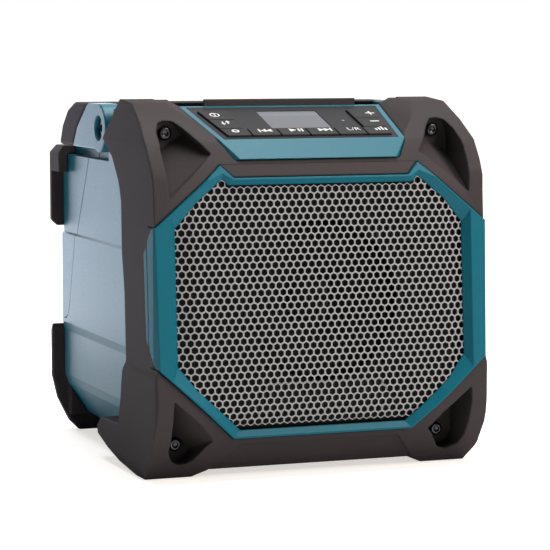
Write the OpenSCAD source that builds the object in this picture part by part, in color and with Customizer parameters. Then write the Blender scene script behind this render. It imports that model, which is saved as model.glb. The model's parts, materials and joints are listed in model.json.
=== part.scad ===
// Jobsite speaker: leaning perforated front in an octagonal bezel, corner bumpers,
// tilted key panel on top, folding carry handle and a battery bay behind a rear door.
// X runs to the right seen from the front, Y to the back, Z up. Sizes in millimetres.

/* [Overall] */
// Width over the bumpers
overall_w = 196; // [190:1:214]
// Depth from the bezel to the rear bumper
overall_d = 218; // [212:1:240]
// Height over the top corner guards
overall_h = 206; // [202:1:226]
// Running gap between pieces that move past each other
fit_gap = 0.3; // [0.2:0.05:0.45]

/* [Housing] */
// Wall of the two housing shells
wall_t = 3; // [2:0.25:4]
// Angle at which each side draws in towards the back
side_taper = 1.2; // [0.5:0.1:1.6]
// How far the middle band of each side stands out
ledge_step = 1.2; // [0.6:0.1:1.8]
// Width of the groove where the two shells meet
parting_gap = 0.4; // [0.2:0.05:0.8]

/* [Bumpers] */
// Thickness of the bumper flange beside the housing
flange_t = 4.8; // [4:0.1:6]
// Depth of the bumper frame behind its front face
frame_depth = 11.4; // [10:0.2:13]
// How far the bezel stands in front of the bumper
bezel_proud = 1.6; // [0.8:0.1:2]
// How far the middle of the chin is set back
chin_step = 2; // [1:0.25:4]
// Depth of the lower screw pockets, measured from the bezel front
lower_pocket_y = 31; // [28:0.5:34]
// Depth of the upper screw pockets, measured from the bezel front
upper_pocket_y = 42; // [40:0.5:46]

/* [Bezel and grille] */
// Half length of the bottom edge of the bezel
bezel_bottom_half = 52.3; // [46:0.5:58]
// Height of the bottom edge of the bezel
bezel_bottom_z = 23.6; // [21:0.2:27]
// Half distance between the two upper peaks of the bezel
bezel_peak_half = 58; // [54:0.5:62]
// Drop of the notch between the peaks
bezel_notch = 6.6; // [4:0.2:8]
// Width of the bezel band at the sides
bezel_side_band = 9.3; // [8:0.1:11]
// Width of the bezel band on the diagonals
bezel_diagonal_band = 4.7; // [4:0.1:7]
// Depth of the bezel at its sides, where it turns back over the bumper
skirt_depth = 18.4; // [15:0.2:20]
// Width of the bezel band beside the notch
bezel_notch_band = 3.6; // [3:0.1:5]
// Width of the bezel band along the top and bottom
bezel_edge_band = 5; // [4:0.2:7]
// How far the opening of the bezel narrows towards the grille
bezel_draft = 2.4; // [1:0.2:3]
// Thickness of the bezel lip in front of the grille
bezel_lip_t = 3; // [2.5:0.25:4]
// Half width of the flat middle of the grille
grille_flat_half = 74; // [68:1:78]
// Angle at which the sides of the grille turn back
grille_wing = 9.8; // [6:0.2:12]
// Depth of the sunk field low in the grille
grille_sunk = 0.7; // [0.4:0.1:0.8]
// Thickness of the perforated sheet
grille_t = 1; // [0.8:0.1:1.5]
// Distance between neighbouring grille holes
grille_pitch = 8.54; // [8:0.02:10]
// Width of a grille hole across its flats
grille_hole = 6.4; // [5:0.1:7]

/* [Loudspeaker] */
// Outer diameter of the loudspeaker frame
speaker_d = 104; // [98:1:110]
// Diameter of the moving cone
cone_d = 76; // [70:1:80]
// Diameter of the magnet
magnet_d = 70; // [60:1:80]
// Height of the magnet
magnet_h = 18; // [14:1:22]
// Diameter of the voice coil former
coil_d = 26; // [22:1:30]

/* [Control panel] */
// Tilt of the panel from the horizontal
panel_tilt = 18.2; // [16:0.2:20]
// Half width of the key plate at its front edge
panel_front_half = 51.4; // [50:0.2:54]
// Half width of the key plate at its rear edge
panel_rear_half = 57.4; // [56:0.2:60]
// Length of the key plate up the slope
panel_len = 50; // [48:0.5:52]
// Thickness of the key plate
plate_t = 2; // [1.5:0.25:2.5]
// Length of the front row of keys
key_row = 13.2; // [12:0.2:14]
// Pitch of the keys along the front row
key_pitch = 17.1; // [16:0.1:17.4]
// Width of the key columns at the sides
key_column = 16; // [14:0.2:17]
// Height of a key above the key plate
key_rise = 1.2; // [0.6:0.1:1.8]
// Key travel
key_travel = 1; // [0.6:0.1:1.2]
// Width of the display window
display_w = 36; // [30:0.5:40]
// Length of the display window
display_len = 28; // [24:0.5:29]

/* [Handle] */
// Distance of the handle pivot behind the bezel front
pivot_y = 113; // [110:0.5:116]
// Radius of the rounded pivot end of each handle arm
pivot_end_r = 13.8; // [13:0.1:14]
// Thickness of a handle arm
arm_t = 11.6; // [10:0.2:12.6]
// Diameter of the recess around each pivot screw
pivot_recess_d = 14; // [13:0.5:15]
// Diameter of the pivot screw shank
pivot_d = 8; // [6:0.5:9]

/* [Battery bay] */
// Width of the battery bay
bay_w = 82; // [76:1:86]
// Height of the battery bay
bay_h = 116; // [110:1:120]
// Depth of the battery bay from the rear wall
bay_depth = 70; // [60:1:75]
// Thickness of the battery door
door_t = 6; // [5:0.25:7]
// Diameter of the hinge pins of the door
hinge_pin_d = 4; // [3:0.25:4.5]
// Radial play of a hinge knuckle on its pin
hinge_play = 0.06; // [0.04:0.01:0.09]

/* [Screws] */
// Diameter of a bumper screw head
screw_head_d = 7.6; // [7:0.1:8.4]
// Height of a bumper screw head
screw_head_t = 2.6; // [2:0.1:3]
// Diameter of a bumper screw shank
screw_d = 4; // [3.5:0.1:4.5]

/* [Hidden] */
$fn = 64;
half_w = overall_w / 2;
root2 = sqrt(2);

// Places measured down from the top, forwards from the back and in from the side
function from_top(h) = overall_h - h;
function from_back(d) = overall_d - d;
function from_side(o) = half_w - o;

// Front of the object seen from the side, from the foot up to the top of the corner guard
face_low_z = 45;
face_high_z = from_top(42);
face_setback = 7.6;
face_lean = atan(face_setback / (face_high_z - face_low_z));
function front_line(dy) = [
    [28 + dy, 0], [24 + dy, 3.5], [14 + dy, 12], [5 + dy, 25], [1 + dy, 36], [dy, face_low_z],
    [face_setback + dy, face_high_z], [11.6 + dy, from_top(34)], [19.6 + dy, from_top(23)],
    [34.6 + dy, from_top(12)], [53.5 + dy, from_top(2)]
];
function face_y(z) = face_setback * (z - face_low_z) / (face_high_z - face_low_z);
function reversed(list) = [for (i = [len(list) - 1 : -1 : 0]) list[i]];
function both_sides(half) = concat(half, [for (p = reversed(half)) [-p[0], p[1]]]);

// Edge from a to b moved to its left by m, and the point where two such edges meet
function moved(a, b, m) = let (n = [a[1] - b[1], b[0] - a[0]] * m / norm(b - a)) [a + n, b + n];
function meet(p, q) =
    let (u = p[1] - p[0], v = q[1] - q[0], w = q[0] - p[0])
    p[0] + u * (w[0] * v[1] - w[1] * v[0]) / (u[0] * v[1] - u[1] * v[0]);

// Half outline that starts and ends on the middle line, with each edge drawn in by its own width
function drawn_in(half, widths) =
    let (points = concat([[0, half[0][1]]], half, [[0, half[len(half) - 1][1]]]))
    let (edges = [for (i = [0 : len(half)]) moved(points[i], points[i + 1], widths[i])])
    [for (i = [0 : len(half) - 1]) meet(edges[i], edges[i + 1])];

// Bezel outline, one half from the bottom edge round to the notch
bezel_side = from_side(0.6);
bezel_peak_z = from_top(34.6);
bezel_low_corner_z = 64.5;
bezel_high_corner_z = from_top(67.7);
bezel_outer = [
    [bezel_bottom_half, bezel_bottom_z], [bezel_side, bezel_low_corner_z],
    [bezel_side, bezel_high_corner_z], [bezel_peak_half, bezel_peak_z],
    [bezel_peak_half - bezel_notch, bezel_peak_z - bezel_notch]
];
// Opening in the bumper, which runs out past the sides
hole_over = 9;
bezel_hole = drawn_in(bezel_outer, [-fit_gap, -fit_gap, -hole_over, -fit_gap, -fit_gap, -fit_gap]);
// Opening of the bezel, grown by one margin
bezel_bands = [
    bezel_edge_band, bezel_diagonal_band, bezel_side_band,
    bezel_diagonal_band, bezel_notch_band, bezel_edge_band
];
function bezel_inner(m) = drawn_in(bezel_outer, [for (w = bezel_bands) w - m]);
grille_lap = 2.4;
grille_front = bezel_lip_t + fit_gap / 2;
grille_back = grille_front + grille_t;
// Sunk field in the grille, one half
sunk_field = [[42.7, 37.2], [33.1, 52.9]];

// Layers behind the front face
baffle_front = grille_back + grille_sunk + fit_gap;
baffle_back = frame_depth + bezel_proud - 0.2;
speaker_z = (bezel_bottom_z + bezel_peak_z) / 2;

// Housing
housing_rear = from_back(9);
housing_top = from_top(6);
side_top = from_top(36);
cheek_top = from_top(30.4);
notch_half = from_side(22);
notch_y = pivot_y + 9;
notch_z = from_top(54);
housing_half = from_side(flange_t + fit_gap);
taper_from_y = 50;
ledge_low_z = 68;
ledge_high_z = from_top(84);
housing_base_z = 11;
shelf_y = 74.5;
// Room kept free beside the panel for the upper screw pockets
relief_in = panel_front_half + 6;
relief_y = upper_pocket_y + 5;
relief_z = from_top(53);
// Room kept free behind the lower screw pockets
low_relief_in = from_side(40);
low_relief_y = lower_pocket_y + 4;
low_relief_z = 52;

// Handle
pivot_z = from_top(17.3);
arm_out = from_side(2.6);
arm_in = arm_out - arm_t;
arm_top_z = from_top(3.5);
arm_low_z = from_top(29.5);
recess_in = arm_in - fit_gap;
sweep_r = pivot_end_r + 2 * fit_gap;
grip_line = [[134, arm_top_z], [156, from_top(18)], [165, arm_low_z]];
grip_back = [[194, arm_low_z], [187.5, from_top(17.5)], [176, from_top(8)], [163, arm_top_z]];

// Key panel
panel_y = 23;
panel_z = from_top(20.8);
panel_rim = 3.4;
ledge_depth = 2;
surround_t = 4.7;
key_gap = 0.7;
key_foot_t = 1;
key_base = plate_t + key_foot_t + 3;
board_t = 1.6;
board_top = key_base + key_travel + fit_gap;
column_in = panel_front_half - key_column + 0.7;
display_low = key_row + 2.8;

// Battery bay and door
bay_low_z = 24;
bay_high_z = min(bay_low_z + bay_h, notch_z - 8);
bay_front_y = housing_rear - bay_depth;
door_lap = 5;
door_half = bay_w / 2 + door_lap;
door_low_z = bay_low_z - door_lap;
door_high_z = bay_high_z + door_lap;
door_back = housing_rear + 1.5;
door_front = door_back - door_t;
knuckle_r = hinge_pin_d / 2 + 2;
hinge_x = -(door_half + knuckle_r + 0.6);
hinge_y = door_back - knuckle_r + 0.6;
hinge_low_z = door_low_z + 16;
hinge_high_z = door_high_z - 16;
lug_len = 11;
// Posts on the front of the bay that carry the amplifier board
post_x = [-32, 32];
post_z = [48, 112];
post_len = 12;
latch_z = (door_low_z + door_high_z) / 2;
latch_w = 16;
latch_h = 30;
latch_t = 3;
latch_tongue = 4;

// Side port behind its cover
port_x = from_side(37);
port_w = 14;
port_low_z = 80;
port_high_z = 116;
port_cover_t = 2.6;
port_pin_d = 2;
port_hinge_z = port_high_z + 2.6;
inlet_z = 90;
inlet_bore_d = 6.4;
socket_z = 106;
socket_w = 12.4;
socket_h = 5;
socket_wall = 0.5;
socket_half = socket_w / 2 + socket_wall;
socket_rise = socket_h / 2 + socket_wall;

// Screw places
upper_screw = [from_side(18.3), from_top(17.9)];
lower_screw = [from_side(19.7), 18.5];
rear_screw_x = from_side(19);
rear_screw_z = [42, from_top(74)];
rear_screw_len = 16;
screw_drive_r = 1.6;
screw_drive_depth = 1.4;
upper_screw_len = 46;
lower_screw_len = 26;
upper_screw_end = upper_pocket_y + upper_screw_len;
lower_screw_end = lower_pocket_y + lower_screw_len;

teal = "#0f6f7d";
graphite = "#4a4546";
black = "#1c1b1d";
silver = "#c9c9c6";

// Shapes that repeat

// Outline in Y and Z carried across the width
module across(width, outline) {
    rotate([90, 0, 90]) linear_extrude(width, center = true) polygon(outline);
}

// Outline in X and Z carried from front to back
module through(y0, y1, outline) {
    translate([0, y1, 0]) rotate([90, 0, 0]) linear_extrude(y1 - y0) polygon(outline);
}

// Outline in X and Y carried upwards
module upright(z0, z1, outline) {
    translate([0, 0, z0]) linear_extrude(z1 - z0) polygon(outline);
}

// Block given by its two corners
module block(low, high) {
    translate(low) cube(high - low);
}

// Round bar along X, along Y and along Z
module bar_x(x0, x1, y, z, d) {
    translate([x0, y, z]) rotate([0, 90, 0]) cylinder(d = d, h = x1 - x0);
}

module bar_y(x, z, y0, y1, d) {
    translate([x, y1, z]) rotate([90, 0, 0]) cylinder(d = d, h = y1 - y0);
}

module bar_z(x, y, z0, z1, d) {
    translate([x, y, z0]) cylinder(d = d, h = z1 - z0);
}

// A piece and its mirror image
module pair() {
    children();
    mirror([1, 0, 0]) children();
}

// The origin lies on the floor under the middle of the object
module placed(tint) {
    color(tint) translate([0, -overall_d / 2, 0]) children();
}

// Layer that follows the front face between two depths
module face_layer(d0, d1) {
    across(overall_w + 20, concat(front_line(d0), reversed(front_line(d1))));
}

// Everything behind the front face at depth d, with both sides turned back by the grille wings
module behind_face(d) {
    line = concat(front_line(d), [[overall_d, overall_h], [overall_d, 0]]);
    intersection() {
        across(2 * overall_w, line);
        for_side(1) across(4 * overall_w, line);
        for_side(-1) across(4 * overall_w, line);
    }
}

// Turns a shape back about the upright edge of one grille wing
module for_side(s) {
    edge = [s * grille_flat_half, grille_front + face_setback / 2, 0];
    translate(edge) rotate([0, 0, s * grille_wing]) translate(-edge) children();
}

// Frame of the key panel: origin at the front edge, Y up the slope, Z out of the panel
module on_panel() {
    translate([0, panel_y, panel_z]) rotate([panel_tilt, 0, 0]) children();
}

// Frame of the loudspeaker: origin on the bezel front, Z pointing into the object
module on_speaker() {
    translate([0, face_y(speaker_z), speaker_z]) rotate([-90 - face_lean, 0, 0]) children();
}

// Housing

// Side view of the housing, grown outwards by g
function housing_line(g) = [
    [50 - g, housing_base_z - g], [frame_depth + 9 - g, 36 - g],
    [frame_depth + bezel_proud - g, 46],
    [frame_depth + bezel_proud + face_setback - g, face_high_z], [24 - g, from_top(35) + g / 2],
    [31, from_top(33) + g], [shelf_y - g, from_top(18.8) + g], [shelf_y - g, housing_top + g],
    [notch_y + g, housing_top + g], [notch_y + g, cheek_top + g],
    [housing_rear + g, cheek_top + g], [housing_rear + g, housing_base_z - g]
];

// Everything inside one tapered side with its proud middle band, grown by g
module side_limit(g) {
    s = ledge_step;
    translate([housing_half + g, taper_from_y, 0]) rotate([0, 0, side_taper]) {
        through(-overall_d, 2 * overall_d, [
            [-3 * overall_w, -overall_h], [-18, -overall_h], [-18, housing_base_z - 3 - g], [-s - 2, 30],
            [-s, 36], [-s, ledge_low_z - 5 - g], [0, ledge_low_z - g],
            [0, ledge_high_z + g], [-s, ledge_high_z + g + s],
            [-s, 2 * overall_h], [-3 * overall_w, 2 * overall_h]
        ]);
    }
}

module housing_form(g) {
    difference() {
        intersection() {
            across(2 * overall_w, housing_line(g));
            side_limit(g);
            mirror([1, 0, 0]) side_limit(g);
            block([-housing_half - g, -overall_d, -overall_h],
                [housing_half + g, 2 * overall_d, 2 * overall_h]);
        }
        block([-notch_half + g, notch_y + g, notch_z + g], [notch_half - g, 2 * overall_d, 2 * overall_h]);
        pair() bar_x(recess_in + g, overall_w, pivot_y, pivot_z, 2 * (sweep_r - g));
        pair() block([recess_in + g, pivot_y - 4 + g, side_top + g], [overall_w, overall_d, 2 * overall_h]);
        pair() block([recess_in + g, pivot_y - sweep_r + g, pivot_z], [overall_w, overall_d, 2 * overall_h]);
        pair() block([relief_in + g, -overall_d, relief_z + g], [overall_w, relief_y - g, 2 * overall_h]);
        pair() block([low_relief_in + g, -overall_d, -overall_h],
            [overall_w, low_relief_y - g, low_relief_z - g]);
    }
}

// Line on the side where the two shells meet, from the top down, and the zone behind it moved back by d
parting_line = [
    [from_back(71), cheek_top + 1], [from_back(39.3), ledge_high_z + 0.7], [from_back(25.8), ledge_low_z + 12],
    [from_back(21.5), ledge_low_z + 4.5], [from_back(17), ledge_low_z + 2.5],
    [housing_rear - wall_t, ledge_low_z + 2.5], [housing_rear - wall_t, housing_base_z + 4]
];
module rear_zone(d) {
    across(2 * overall_w, concat([for (p = parting_line) p + [d, d]], [
        [2 * overall_d, housing_base_z + 4 + d], [2 * overall_d, 2 * overall_h],
        [parting_line[0][0] + d, 2 * overall_h]
    ]));
}

module housing_shell() {
    difference() {
        housing_form(0);
        housing_form(-wall_t);
    }
}

module main_housing() {
    boss_d = screw_d + 6;
    placed(teal) difference() {
        union() {
            difference() {
                housing_shell();
                rear_zone(0);
            }
            intersection() {
                housing_form(0);
                union() {
                    pair() bar_y(upper_screw[0], upper_screw[1], shelf_y, upper_screw_end, boss_d);
                    pair() bar_y(lower_screw[0], lower_screw[1], lower_pocket_y, lower_screw_end, boss_d);
                    pair() bar_x(recess_in - 12, recess_in, pivot_y, pivot_z, pivot_d + 6);
                }
            }
            on_panel() for (x = [-40, 40], y = [8, 40]) {
                translate([x, y, -board_top - board_t - 6]) cylinder(d = 6, h = 6);
            }
            on_panel() for (s = [-1, 1], v = [6, 44]) {
                translate([s * (plate_half(v) + 1), v, -board_top - board_t - 6])
                    cylinder(d = 3.6, h = board_top + board_t + 6 - surround_t);
            }
        }
        through(0, 30, both_sides(bezel_inner(-8)));
        speaker_room();
        pair() bar_y(upper_screw[0], upper_screw[1], 30, upper_screw_end + 1, screw_d + fit_gap);
        pair() bar_y(lower_screw[0], lower_screw[1], 20, lower_screw_end + 1, screw_d + fit_gap);
        pair() bar_x(recess_in - 14, recess_in + 1, pivot_y, pivot_z, pivot_d + 0.1);
    }
}

// Rear wall thickened behind the door and the port
module rear_frames() {
    block([-door_half - 14, door_front - 5, door_low_z - 3], [door_half + 7, housing_rear, door_high_z + 3]);
    block([port_x - port_w / 2 - 4, housing_rear - 13, port_low_z - 6],
        [port_x + port_w / 2 + 4, housing_rear, port_high_z + 8]);
}

module rear_cover() {
    bay_wall = 2.5;
    placed(teal) difference() {
        union() {
            intersection() {
                union() {
                    housing_shell();
                    intersection() {
                        housing_form(0);
                        rear_frames();
                    }
                }
                rear_zone(parting_gap);
            }
            block([-bay_w / 2 - bay_wall, bay_front_y - bay_wall, bay_low_z - bay_wall],
                [bay_w / 2 + bay_wall, housing_rear - 4, bay_high_z + bay_wall]);
            for (x = post_x, z = post_z) bar_y(x, z, bay_front_y - post_len, bay_front_y - 1, 7);
            for (x = [-1, 1], z = rear_screw_z) {
                bar_y(x * rear_screw_x, z, from_back(4) - rear_screw_len, housing_rear - 1, screw_d + 5);
            }
            for (z = [hinge_low_z - lug_len, hinge_high_z + 0.4]) {
                bar_z(hinge_x, hinge_y, z, z + lug_len - 0.4, 2 * knuckle_r);
                block([hinge_x - knuckle_r, door_front - 2, z],
                    [hinge_x + knuckle_r, hinge_y, z + lug_len - 0.4]);
            }
        }
        block([-bay_w / 2, bay_front_y, bay_low_z], [bay_w / 2, overall_d, bay_high_z]);
        block([-door_half - 0.6, door_front - fit_gap, door_low_z - 0.6],
            [door_half + 0.6, overall_d, door_high_z + 0.6]);
        block([hinge_x - knuckle_r - 0.6, hinge_y - knuckle_r - 0.6, hinge_low_z],
            [-door_half, overall_d, hinge_high_z]);
        block([door_half, door_front - fit_gap, latch_z - latch_h / 2],
            [door_half + latch_tongue + 1, overall_d, latch_z + latch_h / 2]);
        bar_z(hinge_x, hinge_y, hinge_low_z - lug_len + 2, hinge_high_z + lug_len + 1, hinge_pin_d + 0.04);
        block([port_x - port_w / 2 - 0.4, housing_rear - port_cover_t - 0.4, port_low_z - 0.4],
            [port_x + port_w / 2 + 0.4, overall_d, port_hinge_z + 3]);
        bar_x(port_x - port_w / 2 - 3, port_x + port_w / 2 + 3, housing_rear - 1, port_hinge_z,
            port_pin_d + 0.04);
        bar_y(port_x, inlet_z, housing_rear - 20, overall_d, 10.2);
        block([port_x - socket_half - 0.1, housing_rear - 20, socket_z - socket_rise - 0.1],
            [port_x + socket_half + 0.1, overall_d, socket_z + socket_rise + 0.1]);
        for (x = [-1, 1], z = rear_screw_z) {
            bar_y(x * rear_screw_x, z, housing_rear - 20, overall_d, screw_d + fit_gap);
        }
    }
}

// Bumpers

bumper_back = [
    [78.4, overall_h], [99.5, from_top(22.5)], [82, from_top(32)], [71, from_top(45)], [66.5, from_top(56)],
    [65.5, from_top(84)], [61, 100], [59, 62], [63, 55], [66, 40], [71, 25], [102, 24.6], [111, 18.6],
    [110, 14.2], [73, 3.6], [45, 0]
];
bumper_front = [
    [61, 4], [69, 0], [from_side(2.4), 0], [half_w, 9], [half_w, 58], [from_side(1.2), 62],
    [from_side(1.2), from_top(50)], [from_side(0.8), from_top(30)], [from_side(0.8), from_top(22)],
    [from_side(4.5), overall_h]
];
bumper_plan = both_sides([
    [from_side(3), -1], [from_side(2.4), 0], [from_side(0.7), 2.4], [half_w, 5], [half_w, overall_d]
]);

// Side view of the bezel skirt, grown by g
function skirt_line(g) = [
    [-5, bezel_low_corner_z - 3.4 - g],
    [skirt_depth + face_y(bezel_low_corner_z) + g, bezel_low_corner_z + 11 - g],
    [skirt_depth + face_y(bezel_high_corner_z) + g, bezel_high_corner_z - 14 + g],
    [-5, bezel_high_corner_z + 6 + g]
];
skirt_in = housing_half + fit_gap;

// Side view and plan of the key panel with its sloping front strip
strip_y = 13.1;
panel_line = [
    [strip_y, from_top(31.4)], [panel_y - 0.8, panel_z - 0.4],
    [panel_y + panel_len * cos(panel_tilt) + 2, panel_z + panel_len * sin(panel_tilt) + 0.9],
    [panel_y + panel_len * cos(panel_tilt) + 2, panel_z + panel_len * sin(panel_tilt) - 4],
    [panel_y + 4.5, panel_z - 3.4], [strip_y + 5, from_top(32.4)]
];
function panel_plan(m) = both_sides([
    [46 + m, strip_y - 2 * m], [panel_front_half + panel_rim + m, panel_y - 0.8],
    [panel_rear_half + panel_rim + m, panel_y + panel_len * cos(panel_tilt) + 2 + m]
]);

// Everything above the sloping inner cheek of a corner guard
cheek_tilt = 31.2;
cheek_turn = 206.6;
module cheek_cut() {
    intersection() {
        translate([panel_front_half + panel_rim, panel_y - 0.8, panel_z - 0.4])
            rotate([0, cheek_tilt, cheek_turn]) block([-200, -200, 0], [200, 200, 100]);
        block([46, 0, from_top(50)], [overall_w, overall_d, 2 * overall_h]);
    }
}

// Screw pockets with a floor that rises to the bezel
upper_pocket = [
    [from_side(36.7), from_top(28.7)], [from_side(30), from_top(20.5)], [from_side(25), from_top(14.6)],
    [from_side(21.2), from_top(11.4)], [from_side(16.6), from_top(11)], [from_side(12.8), from_top(12.2)],
    [from_side(10), from_top(16.8)], [from_side(8.7), from_top(26)], [from_side(9.1), from_top(36)],
    [from_side(10), from_top(51.4)]
];
lower_pocket = [
    [from_side(35.8), 24.1], [from_side(31), 19.5], [from_side(25.5), 11.5], [from_side(22.5), 9.3],
    [from_side(18.4), 8.6], [from_side(12.7), 11.9], [from_side(10.2), 17.2], [from_side(10.1), 28],
    [from_side(10), 38.3], [from_side(10.5), 46]
];
upper_floor_tilt = 30;
upper_edge_turn = 13.5;
lower_floor_tilt = 24;
module pocket_cuts() {
    intersection() {
        through(0, upper_pocket_y, upper_pocket);
        translate([from_side(36.7), 19, from_top(28.7)]) rotate([0, 40.4, 0])
            rotate([0, 0, -upper_edge_turn]) rotate([upper_floor_tilt, 0, 0])
            block([-100, -200, 0], [100, 200, 100]);
    }
    intersection() {
        through(0, lower_pocket_y, lower_pocket);
        translate([from_side(35.8), 4, 24.1]) rotate([0, -41, 0]) rotate([-lower_floor_tilt, 0, 0])
            block([-100, -200, -100], [100, 200, 0]);
    }
    bar_y(upper_screw[0], upper_screw[1], upper_pocket_y - 16, upper_pocket_y, screw_head_d + 1.2);
    bar_y(lower_screw[0], lower_screw[1], lower_pocket_y - 16, lower_pocket_y, screw_head_d + 1.2);
}

module front_bumper() {
    placed(graphite) difference() {
        intersection() {
            across(2 * overall_w, concat(front_line(bezel_proud), bumper_back));
            through(-10, overall_d, both_sides(bumper_front));
            upright(-1, overall_h + 1, bumper_plan);
        }
        housing_form(fit_gap);
        speaker_room();
        pair() intersection() {
            across(2 * overall_w, skirt_line(fit_gap));
            block([skirt_in - 1, -9, 0], [overall_w, overall_d, overall_h]);
        }
        intersection() {
            face_layer(-5, frame_depth + bezel_proud);
            through(-9, 60, both_sides(bezel_hole));
        }
        intersection() {
            face_layer(-5, chin_step + bezel_proud);
            through(-9, 60, both_sides([[64, -1], [64, 1], [46, 20]]));
        }
        intersection() {
            across(overall_w, [
                panel_line[0] + [-6, 1.2 - fit_gap], [panel_y - 14, overall_h + 9],
                [overall_d, overall_h + 9], [overall_d, from_top(40)], [strip_y + 5, from_top(40)],
                panel_line[5] - [0, fit_gap]
            ]);
            upright(from_top(60), overall_h + 1, panel_plan(fit_gap));
        }
        block([-from_side(24), shelf_y - 0.5, from_top(30)], [from_side(24), overall_d, overall_h + 1]);
        pair() cheek_cut();
        pair() pocket_cuts();
        pair() bar_x(recess_in - 1, arm_out + 2 * fit_gap, pivot_y, pivot_z, 2 * sweep_r);
        pair() bar_y(upper_screw[0], upper_screw[1], 20, overall_d, screw_d + fit_gap);
        pair() bar_y(lower_screw[0], lower_screw[1], 10, overall_d, screw_d + fit_gap);
    }
}

// Side views of the rear guards, and the upper and lower guard seen from behind
upper_guard = [
    [from_back(20.3), side_top + 5.5], [from_back(4), side_top + 5.5], [overall_d, side_top + 1],
    [overall_d, from_top(78)], [from_back(4.5), from_top(80)], [from_back(4.5), from_top(46.5)],
    [from_back(20.3), from_top(46.5)]
];
lower_guard = [
    [from_back(4.5), 66], [from_back(3), 66], [overall_d, 62], [overall_d, 10], [from_back(2), 0],
    [from_back(7), 0], [from_back(7), 8], [from_back(4.5), 12]
];
guard_half = from_side(3.4);
upper_guard_back = [
    [rear_screw_x, from_top(84)], [guard_half - 4, from_top(81)], [guard_half, from_top(76)],
    [guard_half, side_top + 1], [guard_half - 3, side_top + 5.5], [rear_screw_x, side_top + 5.5]
];
lower_guard_back = [
    [64, 0], [from_side(19.3), 0], [from_side(13.8), 5.6], [from_side(6.7), 20], [guard_half, 34],
    [guard_half, 66], [64, 66]
];

module rear_bumper() {
    strip_half = 6;
    placed(graphite) difference() {
        union() {
            intersection() {
                across(2 * overall_w, upper_guard);
                pair() through(notch_y, overall_d, upper_guard_back);
            }
            intersection() {
                across(2 * overall_w, lower_guard);
                pair() through(notch_y, overall_d, lower_guard_back);
            }
            block([-66, housing_rear - 1, 3], [66, from_back(2), housing_base_z + 1.5]);
            pair() block([rear_screw_x - strip_half, housing_rear - 1, 10],
                [rear_screw_x + strip_half, from_back(2), side_top]);
        }
        housing_form(fit_gap);
        block([-notch_half - fit_gap, notch_y, notch_z - 4],
            [notch_half + fit_gap, overall_d + 1, overall_h]);
        for (x = [-1, 1], z = rear_screw_z) {
            bar_y(x * rear_screw_x, z, from_back(30), overall_d + 1, screw_d + fit_gap);
            bar_y(x * rear_screw_x, z, from_back(4), overall_d + 1, screw_head_d + 1.4);
        }
    }
}

// Front face

// Depth of the front face behind its foremost line at height z
function face_at(z) = z > face_low_z ? face_y(z) : 5 * (face_low_z - z) / (face_low_z - 25);

// Half outline with a point added where its low diagonal crosses the bend of the face
function bent(half) =
    let (t = (face_low_z - half[0][1]) / (half[1][1] - half[0][1]))
    concat([half[0], half[0] + t * (half[1] - half[0])], [for (i = [1 : len(half) - 1]) half[i]]);

// Funnel that narrows from the front of the bezel to the grille, closed by a far point at each end
module bezel_funnel() {
    ahead = 2;
    behind = bezel_lip_t + 3;
    slope = bezel_draft / bezel_lip_t;
    front = both_sides(bent(bezel_inner(slope * ahead)));
    back = both_sides(bent(bezel_inner(-slope * behind)));
    n = len(front);
    function next(i) = (i + 1) % n;
    polyhedron(
        points = concat(
            [for (p = front) [p[0], face_at(p[1]) - ahead, p[1]]],
            [for (p = back) [p[0], face_at(p[1]) + behind, p[1]]],
            [[0, -overall_d, speaker_z], [0, overall_d, speaker_z]]),
        faces = concat(
            [for (i = [0 : n - 1]) [2 * n, next(i), i]],
            [for (i = [0 : n - 1]) [i, next(i), n + next(i)]],
            [for (i = [0 : n - 1]) [i, n + next(i), n + i]],
            [for (i = [0 : n - 1]) [2 * n + 1, n + i, n + next(i)]]));
}

module bezel() {
    groove_y = 13;
    groove = 1;
    bezel_plan = both_sides([
        [from_side(2.4), -1], [from_side(2.4), 0.2], [bezel_side, 8], [bezel_side, 60]
    ]);
    placed(teal) difference() {
        union() {
            intersection() {
                face_layer(0, frame_depth + bezel_proud - fit_gap);
                through(-5, 40, both_sides(bezel_outer));
                upright(0, overall_h, bezel_plan);
            }
            pair() intersection() {
                across(2 * overall_w, skirt_line(0));
                face_layer(2, 40);
                block([skirt_in, 0, 0], [bezel_side, overall_d, overall_h]);
                upright(0, overall_h, bezel_plan);
            }
        }
        bezel_funnel();
        intersection() {
            behind_face(bezel_lip_t);
            through(-5, 60, both_sides(bezel_inner(grille_lap + fit_gap)));
        }
        pair() intersection() {
            face_layer(groove_y, groove_y + groove);
            block([bezel_side - groove, 0, bezel_low_corner_z + 4],
                [overall_w, overall_d, bezel_high_corner_z - 4]);
        }
    }
}

// Sheet that follows the turned-back face between two depths
module sheet(d0, d1) {
    difference() {
        behind_face(d0);
        behind_face(d1);
    }
}

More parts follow.
